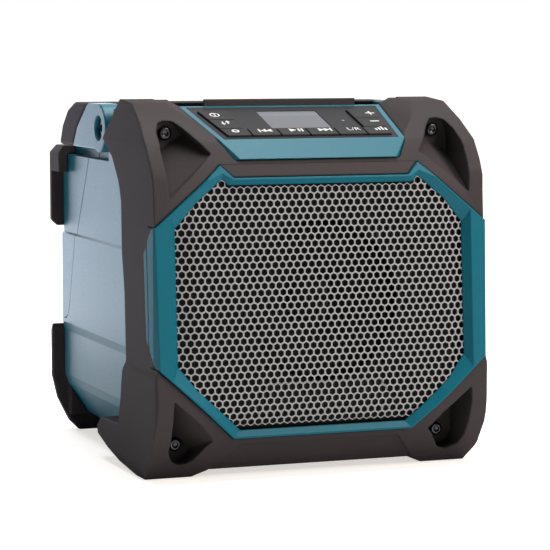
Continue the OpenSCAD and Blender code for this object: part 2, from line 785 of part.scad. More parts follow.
module grille() {
    rows = ceil(overall_h / grille_pitch);
    columns = ceil(half_w / grille_pitch);
    row_step = grille_pitch * sqrt(3) / 2;
    inside = drawn_in(bezel_inner(-bezel_draft), [for (w = bezel_bands) grille_hole / 2 + 0.6]);
    hole_r = grille_hole / sqrt(3);
    // Places on the inner side of each edge of the outline
    function left_of(a, b, p) = (b[0] - a[0]) * (p[1] - a[1]) - (b[1] - a[1]) * (p[0] - a[0]) > 0;
    function clear(p) = p[1] > inside[0][1] && p[1] < inside[4][1] && left_of(inside[0], inside[1], p)
        && left_of(inside[1], inside[2], p) && left_of(inside[2], inside[3], p);
    placed(silver) intersection() {
        union() {
            difference() {
                sheet(grille_front, grille_back);
                through(-5, 60, both_sides(sunk_field));
            }
            intersection() {
                sheet(grille_front + grille_sunk, grille_back + grille_sunk);
                through(-5, 60, drawn_out(both_sides(sunk_field), grille_t / 2));
            }
        }
        translate([0, 60, 0]) rotate([90, 0, 0]) linear_extrude(80) difference() {
            polygon(both_sides(bezel_inner(grille_lap)));
            for (r = [0 : rows], c = [-columns : columns]) {
                p = [(c + (r % 2) / 2) * grille_pitch, bezel_bottom_z + r * row_step];
                if (clear([abs(p[0]), p[1]])) translate(p) rotate(30) circle(r = hole_r, $fn = 6);
            }
        }
    }
}

// Closed outline with every point moved away from its middle by m both ways
function drawn_out(o, m) =
    let (c = [for (i = [0, 1]) (min([for (p = o) p[i]]) + max([for (p = o) p[i]])) / 2])
    [for (p = o) p + [sign(p[0] - c[0]), sign(p[1] - c[1])] * m];

module baffle() {
    placed(black) difference() {
        intersection() {
            behind_face(baffle_front);
            face_layer(0, baffle_back);
            through(-5, 60, both_sides(bezel_inner(grille_lap)));
        }
        on_speaker() translate([0, 0, -10]) cylinder(d = speaker_d - 16, h = 60);
        on_speaker() translate([0, 0, baffle_back]) cylinder(d = speaker_d + 2, h = 60);
        on_speaker() for (a = [45 : 90 : 315]) rotate(a)
            translate([speaker_screw_r, 0, -10]) cylinder(d = 3.2, h = 60);
    }
}

// Room around the loudspeaker behind the baffle
module speaker_room() {
    on_speaker() translate([0, 0, baffle_back - fit_gap]) cylinder(d = speaker_d + 2, h = 30);
}

// Loudspeaker, built along its own axis from the back of the baffle

seat_w = baffle_back + 0.6;
frame_front = seat_w + 0.2;
basket_depth = 26;
magnet_top = frame_front + basket_depth;
speaker_screw_r = speaker_d / 2 - 3.2;

module speaker_gasket() {
    placed(black) on_speaker() translate([0, 0, baffle_back]) difference() {
        cylinder(d = speaker_d, h = seat_w - baffle_back + 0.2);
        translate([0, 0, -1]) cylinder(d = speaker_d - 14, h = 4);
        for (a = [45 : 90 : 315]) rotate(a) translate([speaker_screw_r, 0, -1]) cylinder(d = 3.2, h = 4);
    }
}

module speaker_frame() {
    rim = 2.5;
    neck_d = coil_d + 22;
    placed(black) on_speaker() translate([0, 0, frame_front]) difference() {
        rotate_extrude() polygon([
            [speaker_d / 2 - 8, 0], [speaker_d / 2, 0], [speaker_d / 2, rim], [speaker_d / 2 - 6.4, rim],
            [neck_d / 2 + 4, basket_depth], [coil_d / 2 + 3, basket_depth],
            [coil_d / 2 + 3, basket_depth - 2.5], [neck_d / 2 + 1, basket_depth - 2.5],
            [speaker_d / 2 - 8, rim]
        ]);
        for (a = [0 : 60 : 300]) rotate(a + 30)
            translate([speaker_d / 2 - 22, 0, basket_depth / 2 + 1])
                cube([28, 15, basket_depth - 9], center = true);
        for (a = [45 : 90 : 315]) rotate(a) translate([speaker_screw_r, 0, -1]) cylinder(d = 3.2, h = 9);
    }
}

module speaker_magnet() {
    plate = 4;
    gap_d = coil_d + 3;
    placed(graphite) on_speaker() translate([0, 0, magnet_top]) difference() {
        rotate_extrude() polygon([
            [0, 1], [coil_d / 2 - 1.5, 1], [coil_d / 2 - 1.5, magnet_h - plate],
            [gap_d / 2 + 4, magnet_h - plate], [gap_d / 2 + 4, plate], [gap_d / 2, plate],
            [gap_d / 2, 0], [magnet_d / 2 - 3, 0],
            [magnet_d / 2 - 3, plate], [magnet_d / 2, plate], [magnet_d / 2, magnet_h - plate],
            [magnet_d / 2 - 3, magnet_h - plate], [magnet_d / 2 - 3, magnet_h], [0, magnet_h]
        ]);
    }
}

// Half roll between the frame and the cone
roll_out = speaker_d / 2 - 8 - 0.2;
roll_in = cone_d / 2 + 0.3;
module speaker_surround() {
    roll = (roll_out - roll_in) / 2;
    placed(black) on_speaker() translate([0, 0, frame_front + 0.6]) rotate_extrude() difference() {
        translate([roll_in + roll, roll * 0.2]) circle(r = roll);
        translate([roll_in + roll, roll * 0.2]) circle(r = roll - 0.7);
        translate([0, roll * 0.2]) square([speaker_d, speaker_d]);
    }
}

cone_depth = 16;
module speaker_cone() {
    placed(graphite) on_speaker() translate([0, 0, frame_front + 0.6]) rotate_extrude() polygon([
        [cone_d / 2 - 2, 0], [cone_d / 2, 0], [cone_d / 2, 0.8], [cone_d / 2 - 2, 0.8],
        [coil_d / 2 + 0.1, cone_depth + 0.8], [coil_d / 2 + 0.1, cone_depth]
    ]);
}

module dust_cap() {
    placed(black) on_speaker() translate([0, 0, frame_front + cone_depth - 2.6]) rotate_extrude() polygon([
        [0, -3], [4, -2.7], [8, -1.7], [11, -0.2], [coil_d / 2 - 0.5, 1.6], [coil_d / 2 - 0.5, 2.4],
        [11, 0.6], [8, -0.9], [4, -1.9], [0, -2.2]
    ]);
}

module voice_coil() {
    placed(silver) on_speaker() translate([0, 0, frame_front + cone_depth - 1]) difference() {
        cylinder(d = coil_d, h = basket_depth - cone_depth + 7);
        translate([0, 0, -1]) cylinder(d = coil_d - 1, h = basket_depth);
    }
}

module speaker_screws() {
    placed(silver) on_speaker() for (a = [45 : 90 : 315]) rotate(a) translate([speaker_screw_r, 0, 0]) {
        translate([0, 0, frame_front + 2.5]) cylinder(d = 4.6, h = 2);
        translate([0, 0, baffle_front + 1.5]) cylinder(d = 3, h = frame_front + 1.5 - baffle_front);
    }
}

// Key panel

// Key plate outline, drawn in by m
function plate_half(v) = panel_front_half + (panel_rear_half - panel_front_half) * v / panel_len;
function plate_outline(m) = both_sides([[plate_half(0) - m, m], [plate_half(panel_len) - m, panel_len - m]]);

module panel_surround() {
    placed(teal) difference() {
        intersection() {
            across(overall_w, panel_line);
            upright(from_top(60), overall_h, panel_plan(0));
        }
        on_panel() translate([0, 0, -plate_t]) linear_extrude(20) polygon(plate_outline(-0.15));
        on_panel() translate([0, 0, -30]) linear_extrude(60) polygon(plate_outline(ledge_depth));
    }
}

// Row and column of each key, as outlines on the panel
function row_key(x0, x1) = [
    [x0 + key_gap / 2, ledge_depth + 0.9], [x1 - key_gap / 2, ledge_depth + 0.9],
    [x1 - key_gap / 2, key_row], [x0 + key_gap / 2, key_row]
];
function side_half(v) = plate_half(v) - ledge_depth - 1.2;
function end_key(s, x_in, v0, v1) = [
    [s * x_in, v0 + key_gap / 2], [s * side_half(v0), v0 + key_gap / 2],
    [s * side_half(v1), v1 - key_gap / 2], [s * x_in, v1 - key_gap / 2]
];
row_end = 2 * key_pitch + key_gap / 2;
row_low = ledge_depth + 0.9 - key_gap / 2;
row_high = key_row + key_gap / 2;
column_step = 14.6;
key_outlines = [
    end_key(-1, column_in, key_row + column_step, key_row + 2 * column_step),
    end_key(-1, column_in, row_high, key_row + column_step), end_key(-1, row_end, row_low, row_high),
    row_key(-2 * key_pitch, -key_pitch), row_key(-key_pitch, 0), row_key(0, key_pitch),
    row_key(key_pitch, 2 * key_pitch),
    end_key(1, column_in, key_row + column_step, key_row + 2 * column_step),
    end_key(1, column_in, row_high, key_row + column_step), end_key(1, row_end, row_low, row_high)
];

// Outline moved outwards from its middle by m on each straight side
function middle(o) = (o[0] + o[1] + o[2] + o[3]) / 4;
function grown(o, m) = let (c = middle(o)) [for (p = o) p + [sign(p[0] - c[0]) * m, sign(p[1] - c[1]) * m]];

module key(i) {
    placed(black) on_panel() {
        translate([0, 0, -plate_t]) linear_extrude(plate_t + key_rise) polygon(key_outlines[i]);
        translate([0, 0, -plate_t - key_foot_t - fit_gap]) linear_extrude(key_foot_t)
            polygon(grown(key_outlines[i], key_gap / 2 - fit_gap / 2));
        c = middle(key_outlines[i]);
        translate([c[0], c[1], -key_base]) cylinder(d = 5, h = key_base - plate_t + 0.5);
        translate([0, 0, -plate_t - fit_gap - 0.1]) linear_extrude(fit_gap + 0.2) polygon(key_outlines[i]);
    }
}

module key_plate() {
    placed(black) on_panel() difference() {
        translate([0, 0, -plate_t]) linear_extrude(plate_t) polygon(plate_outline(0));
        for (o = key_outlines) {
            translate([0, 0, -plate_t - 1]) linear_extrude(plate_t + 2) polygon(grown(o, fit_gap));
        }
        block([-display_w / 2, display_low, -plate_t - 1], [display_w / 2, display_low + display_len, 1]);
        translate([28.8, 27.5, -plate_t - 1]) cylinder(d = 2, h = plate_t + 2);
    }
}

module display_window() {
    placed("#8f8fa3") on_panel() block([-display_w / 2 + 0.1, display_low + 0.1, -plate_t],
        [display_w / 2 - 0.1, display_low + display_len - 0.1, -0.3]);
}

module display_module() {
    placed(black) on_panel() block([-display_w / 2 - 1.4, display_low - 1.2, -board_top],
        [display_w / 2 + 1.4, display_low + display_len + 1.2, -plate_t]);
}

module keypad_board() {
    placed("#2f5d3a") on_panel() translate([0, 0, -board_top - board_t]) linear_extrude(board_t)
        polygon(plate_outline(ledge_depth + 0.6));
}

module status_light() {
    placed("#dfe8e2") on_panel() {
        translate([28.8, 27.5, -board_top]) cylinder(d = 1.9, h = board_top - 0.1);
    }
}

// Fasteners

// Pan head screw pointing to the back with its seat at y
module rear_pointing_screw(x, z, y, len) {
    bar_y(x, z, y, y + len, screw_d);
    translate([x, y, z]) rotate([90, 0, 0]) rotate_extrude() polygon([
        [0, 0], [screw_head_d / 2, 0], [screw_head_d / 2, screw_head_t * 0.55],
        [screw_head_d / 2 - 0.9, screw_head_t], [screw_drive_r, screw_head_t],
        [screw_drive_r, screw_head_t - screw_drive_depth], [0, screw_head_t - screw_drive_depth]
    ]);
}

module bumper_screws() {
    placed(silver) pair() {
        rear_pointing_screw(upper_screw[0], upper_screw[1], upper_pocket_y, upper_screw_len);
        rear_pointing_screw(lower_screw[0], lower_screw[1], lower_pocket_y, lower_screw_len);
    }
}

module rear_screws() {
    placed(silver) for (x = [-1, 1], z = rear_screw_z) {
        translate([x * rear_screw_x, from_back(4), z]) mirror([0, 1, 0])
            rear_pointing_screw(0, 0, 0, rear_screw_len);
    }
}

// Handle

// Side view of one arm in front of the grip
module arm_outline() {
    polygon(concat([[pivot_y, arm_low_z], [pivot_y, arm_top_z]], grip_line));
    translate([pivot_y, pivot_z]) circle(r = pivot_end_r);
}

// Bar inside the grip with a tongue into each arm
core = 11;
core_y = 165;
core_z = from_top(16);
module grip_core(play) {
    translate([0, core_y, core_z]) rotate([40, 0, 0])
        cube([2 * arm_in + 10, core + play, core + play], center = true);
    pair() block([arm_in + 2 - play / 2, 130, core_z - core / 2 - play / 2],
        [arm_in + 8 + play / 2, core_y + play / 2, core_z + core / 2 + play / 2]);
}

module handle_frame() {
    placed(teal) {
        difference() {
            pair() translate([arm_in, 0, 0]) rotate([90, 0, 90]) linear_extrude(arm_t) arm_outline();
            pair() bar_x(arm_in - 1, arm_out + 1, pivot_y, pivot_z, pivot_d + 2 * hinge_play);
            pair() bar_x(arm_out - 5, arm_out + 1, pivot_y, pivot_z, pivot_recess_d);
        }
        grip_core(0);
    }
}

module handle_grip() {
    placed(graphite) difference() {
        across(2 * arm_out, concat(grip_line, grip_back));
        grip_core(0.2);
    }
}

module handle_pivots() {
    placed(silver) pair() difference() {
        union() {
            bar_x(recess_in - 12, arm_out - 4, pivot_y, pivot_z, pivot_d);
            bar_x(arm_out - 5 + fit_gap, arm_out - 2, pivot_y, pivot_z, pivot_recess_d - 1.4);
        }
        bar_x(arm_out - 3.5, arm_out, pivot_y, pivot_z, 4.4);
    }
}

// Battery door and what is behind it

module battery_door() {
    slot_in = door_half - latch_w - 5 - fit_gap;
    placed(graphite) difference() {
        union() {
            block([-door_half, door_front, door_low_z], [door_half, door_back, door_high_z]);
            bar_z(hinge_x, hinge_y, hinge_low_z, hinge_high_z, 2 * knuckle_r);
            block([hinge_x, door_back - knuckle_r, hinge_low_z],
                [-door_half + 1, door_back - 0.6, hinge_high_z]);
        }
        bar_z(hinge_x, hinge_y, hinge_low_z - 1, hinge_high_z + 1, hinge_pin_d + 2 * hinge_play);
        block([slot_in, door_back - latch_t - fit_gap, latch_z - latch_h / 2 + 1 - fit_gap],
            [door_half + 1, door_back + 1, latch_z + latch_h / 2 - 1 + fit_gap]);
        block([slot_in, door_back - latch_t - fit_gap, latch_z - latch_h / 2 - 0.2 - fit_gap],
            [door_half + 1, door_back - latch_t + 1.1 + fit_gap, latch_z + latch_h / 2 + 0.2 + fit_gap]);
        for (z = [door_low_z + 14 : 10 : door_low_z + 34]) {
            block([-door_half + 16, door_back - 1, z], [door_half - 16, door_back + 1, z + 4]);
        }
        translate([0, 0, -0.1]) difference() {
            block([-bay_w / 2 - 3.4, door_front - 1, bay_low_z - 3.3],
                [bay_w / 2 + 3.4, door_front + 1.2, bay_high_z + 3.5]);
            block([-bay_w / 2 - 1.1, door_front - 2, bay_low_z - 1],
                [bay_w / 2 + 1.1, door_front + 3, bay_high_z + 1.2]);
        }
    }
}

module door_seal() {
    placed(black) difference() {
        block([-bay_w / 2 - 3.2, door_front, bay_low_z - 3.2],
            [bay_w / 2 + 3.2, door_front + 1.2, bay_high_z + 3.2]);
        block([-bay_w / 2 - 1.3, door_front - 1, bay_low_z - 1.3],
            [bay_w / 2 + 1.3, door_front + 3, bay_high_z + 1.3]);
    }
}

module door_hinge_pin() {
    placed(silver)
        bar_z(hinge_x, hinge_y, hinge_low_z - lug_len + 2, hinge_high_z + lug_len - 1, hinge_pin_d);
}

module door_latch() {
    placed(black) difference() {
        union() {
            block([door_half - latch_w, door_back - latch_t, latch_z - latch_h / 2 + 1],
                [door_half - 0.3, door_back, latch_z + latch_h / 2 - 1]);
            block([door_half - latch_w, door_back - latch_t, latch_z - latch_h / 2 + 4],
                [door_half + latch_tongue, door_back - 1, latch_z + latch_h / 2 - 4]);
            block([door_half - latch_w, door_back - latch_t, latch_z - latch_h / 2 - 0.2],
                [door_half - 0.3, door_back - latch_t + 1.1, latch_z + latch_h / 2 + 0.2]);
        }
        for (x = [door_half - latch_w + 3 : 2.5 : door_half - 4]) {
            block([x, door_back - 0.8, latch_z - latch_h / 2 + 5],
                [x + 1.2, door_back + 1, latch_z + latch_h / 2 - 5]);
        }
    }
}

module battery_terminal() {
    rail_h = 46;
    placed(black) translate([0, bay_front_y, bay_low_z + 34]) {
        difference() {
            block([-26, 0, 0], [26, 9, rail_h]);
            pair() block([20, 2.5, -1], [23, 6, rail_h + 1]);
        }
        for (x = [-14, -5, 5, 14]) block([x - 0.6, 8.9, 6], [x + 0.6, 16, rail_h - 14]);
    }
}

module amplifier_board() {
    board_half = 44;
    board_low = 36;
    board_high = 124;
    capacitor_d = 16;
    capacitor_len = 17;
    face = bay_front_y - post_len;
    placed("#2f5d3a") {
        difference() {
            block([-board_half, face - board_t, board_low], [board_half, face, board_high]);
            for (x = post_x, z = post_z) bar_y(x, z, face - 8, bay_front_y, 3.2);
        }
        for (x = [2, 24]) {
            bar_y(x, (board_low + board_high) / 2 + 4, face - capacitor_len, face - 0.5, capacitor_d);
        }
        block([-36, face - 10, 66], [-14, face - 0.5, 100]);
    }
}

// Side port

module port_cover() {
    placed(black) difference() {
        union() {
            block([port_x - port_w / 2, housing_rear - port_cover_t, port_low_z],
                [port_x + port_w / 2, housing_rear + 0.4, port_hinge_z - 1.2]);
            bar_x(port_x - port_w / 2, port_x + port_w / 2, housing_rear - 1, port_hinge_z, 3.6);
            block([port_x - port_w / 2, housing_rear - 1.6, port_hinge_z - 3],
                [port_x + port_w / 2, housing_rear + 0.4, port_hinge_z]);
        }
        bar_x(port_x - port_w, port_x + port_w, housing_rear - 1, port_hinge_z, port_pin_d + 2 * hinge_play);
    }
}

module port_cover_pin() {
    pin_half = port_w / 2 + 2.8;
    placed(silver) bar_x(port_x - pin_half, port_x + pin_half, housing_rear - 1, port_hinge_z, port_pin_d);
}

module power_inlet() {
    placed(black) difference() {
        bar_y(port_x, inlet_z, housing_rear - 16, housing_rear - 4, 10);
        bar_y(port_x, inlet_z, housing_rear - 14, housing_rear, inlet_bore_d);
    }
}

module usb_socket() {
    placed(silver) difference() {
        block([port_x - socket_half, housing_rear - 17, socket_z - socket_rise],
            [port_x + socket_half, housing_rear - 4, socket_z + socket_rise]);
        block([port_x - socket_w / 2, housing_rear - 16, socket_z - socket_h / 2],
            [port_x + socket_w / 2, housing_rear, socket_z + socket_h / 2]);
    }
}

main_housing();
rear_cover();
front_bumper();
rear_bumper();
bezel();
grille();
baffle();
speaker_gasket();
speaker_frame();
speaker_magnet();
speaker_surround();
speaker_cone();
dust_cap();
voice_coil();
speaker_screws();
panel_surround();
key_plate();
display_window();
display_module();
keypad_board();
status_light();
key(0);  // key_power
key(1);  // key_link
key(2);  // key_source
key(3);  // key_previous
key(4);  // key_play
key(5);  // key_next
key(6);  // key_channel
key(7);  // key_louder
key(8);  // key_softer
key(9);  // key_mode
bumper_screws();
rear_screws();
handle_frame();
handle_grip();
handle_pivots();
battery_door();
door_seal();
door_hinge_pin();
door_latch();
battery_terminal();
amplifier_board();
port_cover();
port_cover_pin();
power_inlet();
usb_socket();
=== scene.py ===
import contextlib
import json
import math

import bmesh
import bpy
from mathutils import Matrix, Vector


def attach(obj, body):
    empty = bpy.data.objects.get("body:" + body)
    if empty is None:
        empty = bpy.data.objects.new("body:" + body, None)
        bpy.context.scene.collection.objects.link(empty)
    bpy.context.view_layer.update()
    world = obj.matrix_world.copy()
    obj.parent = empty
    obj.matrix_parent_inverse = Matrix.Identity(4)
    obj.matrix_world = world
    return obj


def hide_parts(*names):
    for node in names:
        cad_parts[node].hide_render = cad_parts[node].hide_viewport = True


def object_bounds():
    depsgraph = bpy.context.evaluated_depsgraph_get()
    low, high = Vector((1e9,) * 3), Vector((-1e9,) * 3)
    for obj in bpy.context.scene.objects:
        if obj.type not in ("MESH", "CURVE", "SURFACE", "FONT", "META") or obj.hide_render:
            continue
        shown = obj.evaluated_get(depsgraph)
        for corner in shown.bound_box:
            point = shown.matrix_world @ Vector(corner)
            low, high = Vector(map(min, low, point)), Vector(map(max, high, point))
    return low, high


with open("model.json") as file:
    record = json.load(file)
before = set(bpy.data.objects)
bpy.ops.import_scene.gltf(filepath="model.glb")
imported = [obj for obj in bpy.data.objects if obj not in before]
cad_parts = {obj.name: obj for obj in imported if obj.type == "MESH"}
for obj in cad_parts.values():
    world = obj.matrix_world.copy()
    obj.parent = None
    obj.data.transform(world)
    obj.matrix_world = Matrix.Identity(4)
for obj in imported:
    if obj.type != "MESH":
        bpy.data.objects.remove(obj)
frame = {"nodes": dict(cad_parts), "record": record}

bl_info = {
    "name": "Jobsite Speaker",
    "version": (1, 0, 0),
    "blender": (4, 5, 0),
    "location": "View3D > Sidebar > Speaker",
    "description": "Finishes, fine detail and a photo stage for the packed jobsite speaker",
    "category": "Object",
}

MM = 0.001
CAD_LOW, CAD_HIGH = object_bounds()
FRONT_Y = CAD_LOW.y
SLOT_OF = {part["node"]: part["material_slot"] for part in frame["record"]["subparts"]}
BODY_OF = {node: body for body, nodes in frame["record"]["behaviour"]["bodies"].items()
           for node in nodes}

# Plain numbers are mm and degrees, with X from the middle, Y from the front and Z from the floor

# Key panel: the middle of its front edge, its slope, and the frame that lies on it
PANEL_FOOT = Vector((0, FRONT_Y + 23 * MM, 185.2 * MM))
PANEL_TILT = math.radians(18.2)
ON_PANEL = Matrix.Translation(PANEL_FOOT) @ Matrix.Rotation(PANEL_TILT, 4, "X")
# Up the slope of the panel: where the display turns paler towards its top, and the reach over which
# it grows brighter upwards
PALER_TOP_LINE = (36.2, 36.8)
DISPLAY_FADE = (16, 44)
# Height of the printed signs over the panel, their thickness, and font size for a height of capitals
PRINT_HEIGHT, PRINT_GAUGE, FONT_SIZE = 1.21, 0.1, 1.4

# Depth of the front face at its heights: foot, two bends, head
FACE = ((25, 5), (36, 1), (45, 0), (164, 7.6))
LOW_BEND_Z, BEND_Z = FACE[1][0], FACE[2][0]

# Half outline of the bezel in X and Z, and how far each edge is drawn in at its ridge and its mouth
BEZEL = ((52.3, 23.6), (97.4, 64.5), (97.4, 138.3), (58.0, 171.4), (51.4, 164.8))
RIDGE = (0.9, 0.9, 9.25, 0.9, 0.9, 0.9)
MOUTH = (4.7, 5.9, 11.6, 5.9, 4.6, 4.0)
MOUTH_DEPTH = 3
# The cut of its opening: the depths behind the face between which it runs, and the cutter's tips
CUT_DEPTHS = (-2, 4)
TIP_DEPTHS, TIP_Z = (-30, 60), 95
# Slanting ends of the side skirts: depth and height of the front corner, rise and run of the slant
SKIRT_ENDS = ((6.9, 142.3, -17.9, 17.4), (1.8, 60.1, 15.3, 17.7))
# Wedges behind those ends: inner and outer X, depth and height
WEDGE_X, WEDGE_DEPTH, WEDGE_HEIGHT = (89.1, 100), 40, 24

# Dark strips behind the parting line that stand in for the shade inside it, and the radius on their
# edges
SHADE_STRIP_X, SHADE_STRIP_Y, SHADE_STRIP_Z = (79.1, 80.3), (146, 165), (150.2, 174.5)
SHADE_STRIP_EDGE = 0.4

# Half outline of the grille in X and Z, and the height from which its rows of holes are counted down
OPENING = ((50.8, 28.6), (88.1, 62.4), (88.1, 140.0), (57.4, 165.7), (51.5, 159.8))
FIRST_ROW_Z, ROWS = 158.0, range(-2, 40)
# Sunk field low in the grille: half width and height of its foot and of its head, and its depth
SUNK_LOW, SUNK_HIGH, SUNK_DEPTH = (42.7, 37.2), (33.1, 52.9), 0.7
# Bends of the sheet: below its low bend, below its main bend and above that
LOW_BEND, MIDDLE_BEND, HIGH_BEND = 13.6, 6.3, -3.65
# Wings at the sides of the sheet: where they begin, their bend, and the depth of the bending line
WING_X, WING_BEND, WING_DEPTH = 74, 9.8, 3.8
# Corners of a six-sided hole lie at 1.155 of its half width, and the middles of its sides at 1
CORNER_BAND = (1.04, 1.17)
CORNER_DRAW, HOLE_REACH = 0.98, 1.14

# Edges of the handle arms and of the rear trim, as shares of the edge of the housing
ARM_EDGE, TRIM_EDGE = 1.5, 0.6
# Edges and smooth shading of the copies of solids
SHARP_ANGLE, SMOOTH_ANGLE, NORMAL_WEIGHT = 30, 35, 60
SCREW_EDGE, SCREW_SHARP, SCREW_SMOOTH = 0.25, 35, 40
# Distances within which corners are joined, and the angle below which faces count as flat
WELD, SHEET_WELD, FLAT_ANGLE = 0.004, 0.05, 0.4

# Drift of tone over a moulding, depth of the grain of mouldings and metal, range of the noise itself
TONE_DRIFT, MOULD_RELIEF, METAL_RELIEF = 45, 0.12, 0.05
NOISE_LOW, NOISE_HIGH = 0.3, 0.7

# Lamps by name: place, aim and sides in metres, power in watts, colour
LAMPS = {
    # Near panel behind the left side, whose sheen ends at the front bumper
    "back_panel": ((-0.09, 0.5, 0.16), (-0.09, 0, 0.16), (0.34, 0.32), 1.15, "#e6ecff"),
    # Key light from the front and the right
    "front": ((1.0, -1.35, 1.15), (0, 0, 0.1), (0.9, 0.9), 24, "#fff6ee"),
    "top": ((0.1, 0, 1.7), (0, 0, 0.1), (1.2, 1.2), 24, "#ffffff"),
}
# Side of the floor and the ring in which its glow grows out of the painted shade round the speaker,
# in metres, and the camera's sensor in mm
FLOOR_SIDE, GLOW_NEAR, GLOW_FAR = 30, 0.15, 0.6
SENSOR_WIDTH = 36

# Finish of each material slot of the record
FINISH_OF = {
    "housing_plastic": "Teal ABS",
    "bumper_rubber": "Graphite elastomer",
    "key_rubber": "Black key rubber",
    "black_plastic": "Black ABS",
    "seal_rubber": "Black sealing rubber",
    "grille_metal": "Silver painted steel",
    "screw_steel": "Zinc plated steel",
    "display_glass": "Display film",
    "light_lens": "Clear lens",
    "circuit_board": "Green solder resist",
    "cone_paper": "Coated paper",
    "magnet_iron": "Ferrite and steel",
}
# Metal parts that sit in shade behind the grille and in the pivot recesses of the handle, drawn in
# the dark metal of the guard screws as painted shade
DARK_AS_PAINTED_SHADE = ("speaker_screws", "voice_coil", "handle_pivots")


def linear(code):
    """Linear RGBA of an sRGB hex colour."""
    channels = [int(code[i:i + 2], 16) / 255 for i in (1, 3, 5)]
    return tuple(c / 12.92 if c <= 0.04045 else ((c + 0.055) / 1.055) ** 2.4
                 for c in channels) + (1.0,)


# Sizes, colours and camera that a user would change

def length(label, text, value):
    """Length with its default in mm."""
    return bpy.props.FloatProperty(name=label, description=text, default=value * MM, min=0,
                                   unit="LENGTH")


def colour(label, text, code):
    """Colour with its default as an sRGB hex value."""
    return bpy.props.FloatVectorProperty(name=label, description=text, default=linear(code),
                                         size=4, min=0, max=1, subtype="COLOR")


class SpeakerSizes(bpy.types.PropertyGroup):
    """Sizes of the edges and of the grille"""
    bumper_edge: length("Bumper edge", "Radius on the edges of the bumpers", 0.45)
    housing_edge: length("Housing edge", "Radius that the handle and the rear trim follow", 0.6)
    grip_edge: length("Grip edge", "Radius on the edges of the grip", 2.2)
    key_edge: length("Key edge", "Radius on the edges of the keys", 0.4)
    hole_pitch: length("Hole pitch", "Distance between neighbouring holes of the grille", 4.27)
    hole_web: length("Hole web", "Width of the metal between two holes", 0.76)
    sheet_depth: length("Sheet depth", "Distance of the grille behind the front of the bezel", 3.15)
    sheet_gauge: length("Sheet gauge", "Thickness of the grille sheet", 0.6)


class SpeakerColours(bpy.types.PropertyGroup):
    """Colours of the visible materials"""
    housing: colour("Housing", "Moulded housing, bezel and handle arms", "#0a697c")
    bumper: colour("Bumper", "Soft bumpers and grip", "#433d3e")
    key: colour("Keys", "Keys and key plate", "#2b2a2d")
    grille: colour("Grille", "Painted perforated sheet", "#aeaeaf")
    legend: colour("Legends", "Printed signs on the keys", "#f2f3f1")
    display: colour("Display", "Unlit display behind its window", "#4d505c")


class SpeakerStage(bpy.types.PropertyGroup):
    """View of the photograph"""
    camera_place: bpy.props.FloatVectorProperty(
        name="Camera", description="Place of the camera",
        default=(-0.5018, -1.3355, 0.2382), size=3, unit="LENGTH")
    camera_turn: bpy.props.FloatProperty(
        name="Turn", description="Turn of the camera to the right",
        default=math.radians(21), unit="ROTATION")
    camera_tilt: bpy.props.FloatProperty(
        name="Tilt", description="Tilt of the camera below the horizon",
        default=math.radians(5.46), unit="ROTATION")
    camera_lens: bpy.props.FloatProperty(
        name="Lens", description="Focal length in millimetres", default=160.4, min=1)


# Materials

def add(tree, kind, settings, inputs):
    """Adds a node, sets its attributes, and feeds each named input with a value or a socket."""
    node = tree.nodes.new(kind)
    for name, value in settings.items():
        setattr(node, name, value)
    for name, value in inputs.items():
        if isinstance(value, bpy.types.NodeSocket):
            tree.links.new(value, node.inputs[name])
        else:
            node.inputs[name].default_value = value
    return node


def fresh_tree(name):
    """Emptied tree of a new or known material, and in it the coordinates of the piece."""
    material = bpy.data.materials.get(name) or bpy.data.materials.new(name)
    material.use_nodes = True
    tree = material.node_tree
    tree.nodes.clear()
    return tree, add(tree, "ShaderNodeTexCoord", {}, {}).outputs["Object"]


def per_mm(size):
    """Texture scale that gives one feature in so many millimetres."""
    return 1 / (size * MM)


def times(base, factor):
    """A colour made paler or deeper by a factor."""
    return [min(1, channel * factor) for channel in base[:3]] + [1]


def uneven(tree, place, grain, detail, roughness, swing):
    """Grain with a feature in so many mm, and a roughness that swings with it."""
    fine = add(tree, "ShaderNodeTexNoise", {}, {
        "Vector": place, "Scale": per_mm(grain), "Detail": detail}).outputs["Fac"]
    rough = add(tree, "ShaderNodeMapRange", {}, {
        "Value": fine, "From Min": NOISE_LOW, "From Max": NOISE_HIGH,
        "To Min": roughness - swing, "To Max": roughness + swing}).outputs["Result"]
    return fine, rough


def moulded(name, base, roughness, grain, bump, tone=0.06, edge=0.3, specular=0.5, coat=0.0):
    """Moulded plastic or rubber: drift of tone, grain of the tool, edges softened by so many mm."""
    # The grain of a real tool is about 0.1 mm; it is drawn coarser here so that it shows
    tree, place = fresh_tree(name)
    drift = add(tree, "ShaderNodeTexNoise", {}, {
        "Vector": place, "Scale": per_mm(TONE_DRIFT), "Detail": 3.0})
    mix = add(tree, "ShaderNodeMix", {"data_type": "RGBA"}, {
        0: drift.outputs["Fac"], 6: times(base, 1 - tone), 7: times(base, 1 + tone)})
    fine, rough = uneven(tree, place, grain, 2.0, roughness, 0.06)
    soft = add(tree, "ShaderNodeBevel", {"samples": 6}, {"Radius": edge * MM})
    relief = add(tree, "ShaderNodeBump", {}, {
        "Height": fine, "Strength": bump, "Distance": MOULD_RELIEF * MM,
        "Normal": soft.outputs["Normal"]})
    shader = add(tree, "ShaderNodeBsdfPrincipled", {}, {
        "Base Color": mix.outputs[2], "Roughness": rough, "Normal": relief.outputs["Normal"],
        "Specular IOR Level": specular, "Coat Weight": coat, "Coat Roughness": roughness,
        "Coat Normal": relief.outputs["Normal"]})
    add(tree, "ShaderNodeOutputMaterial", {}, {"Surface": shader.outputs["BSDF"]})


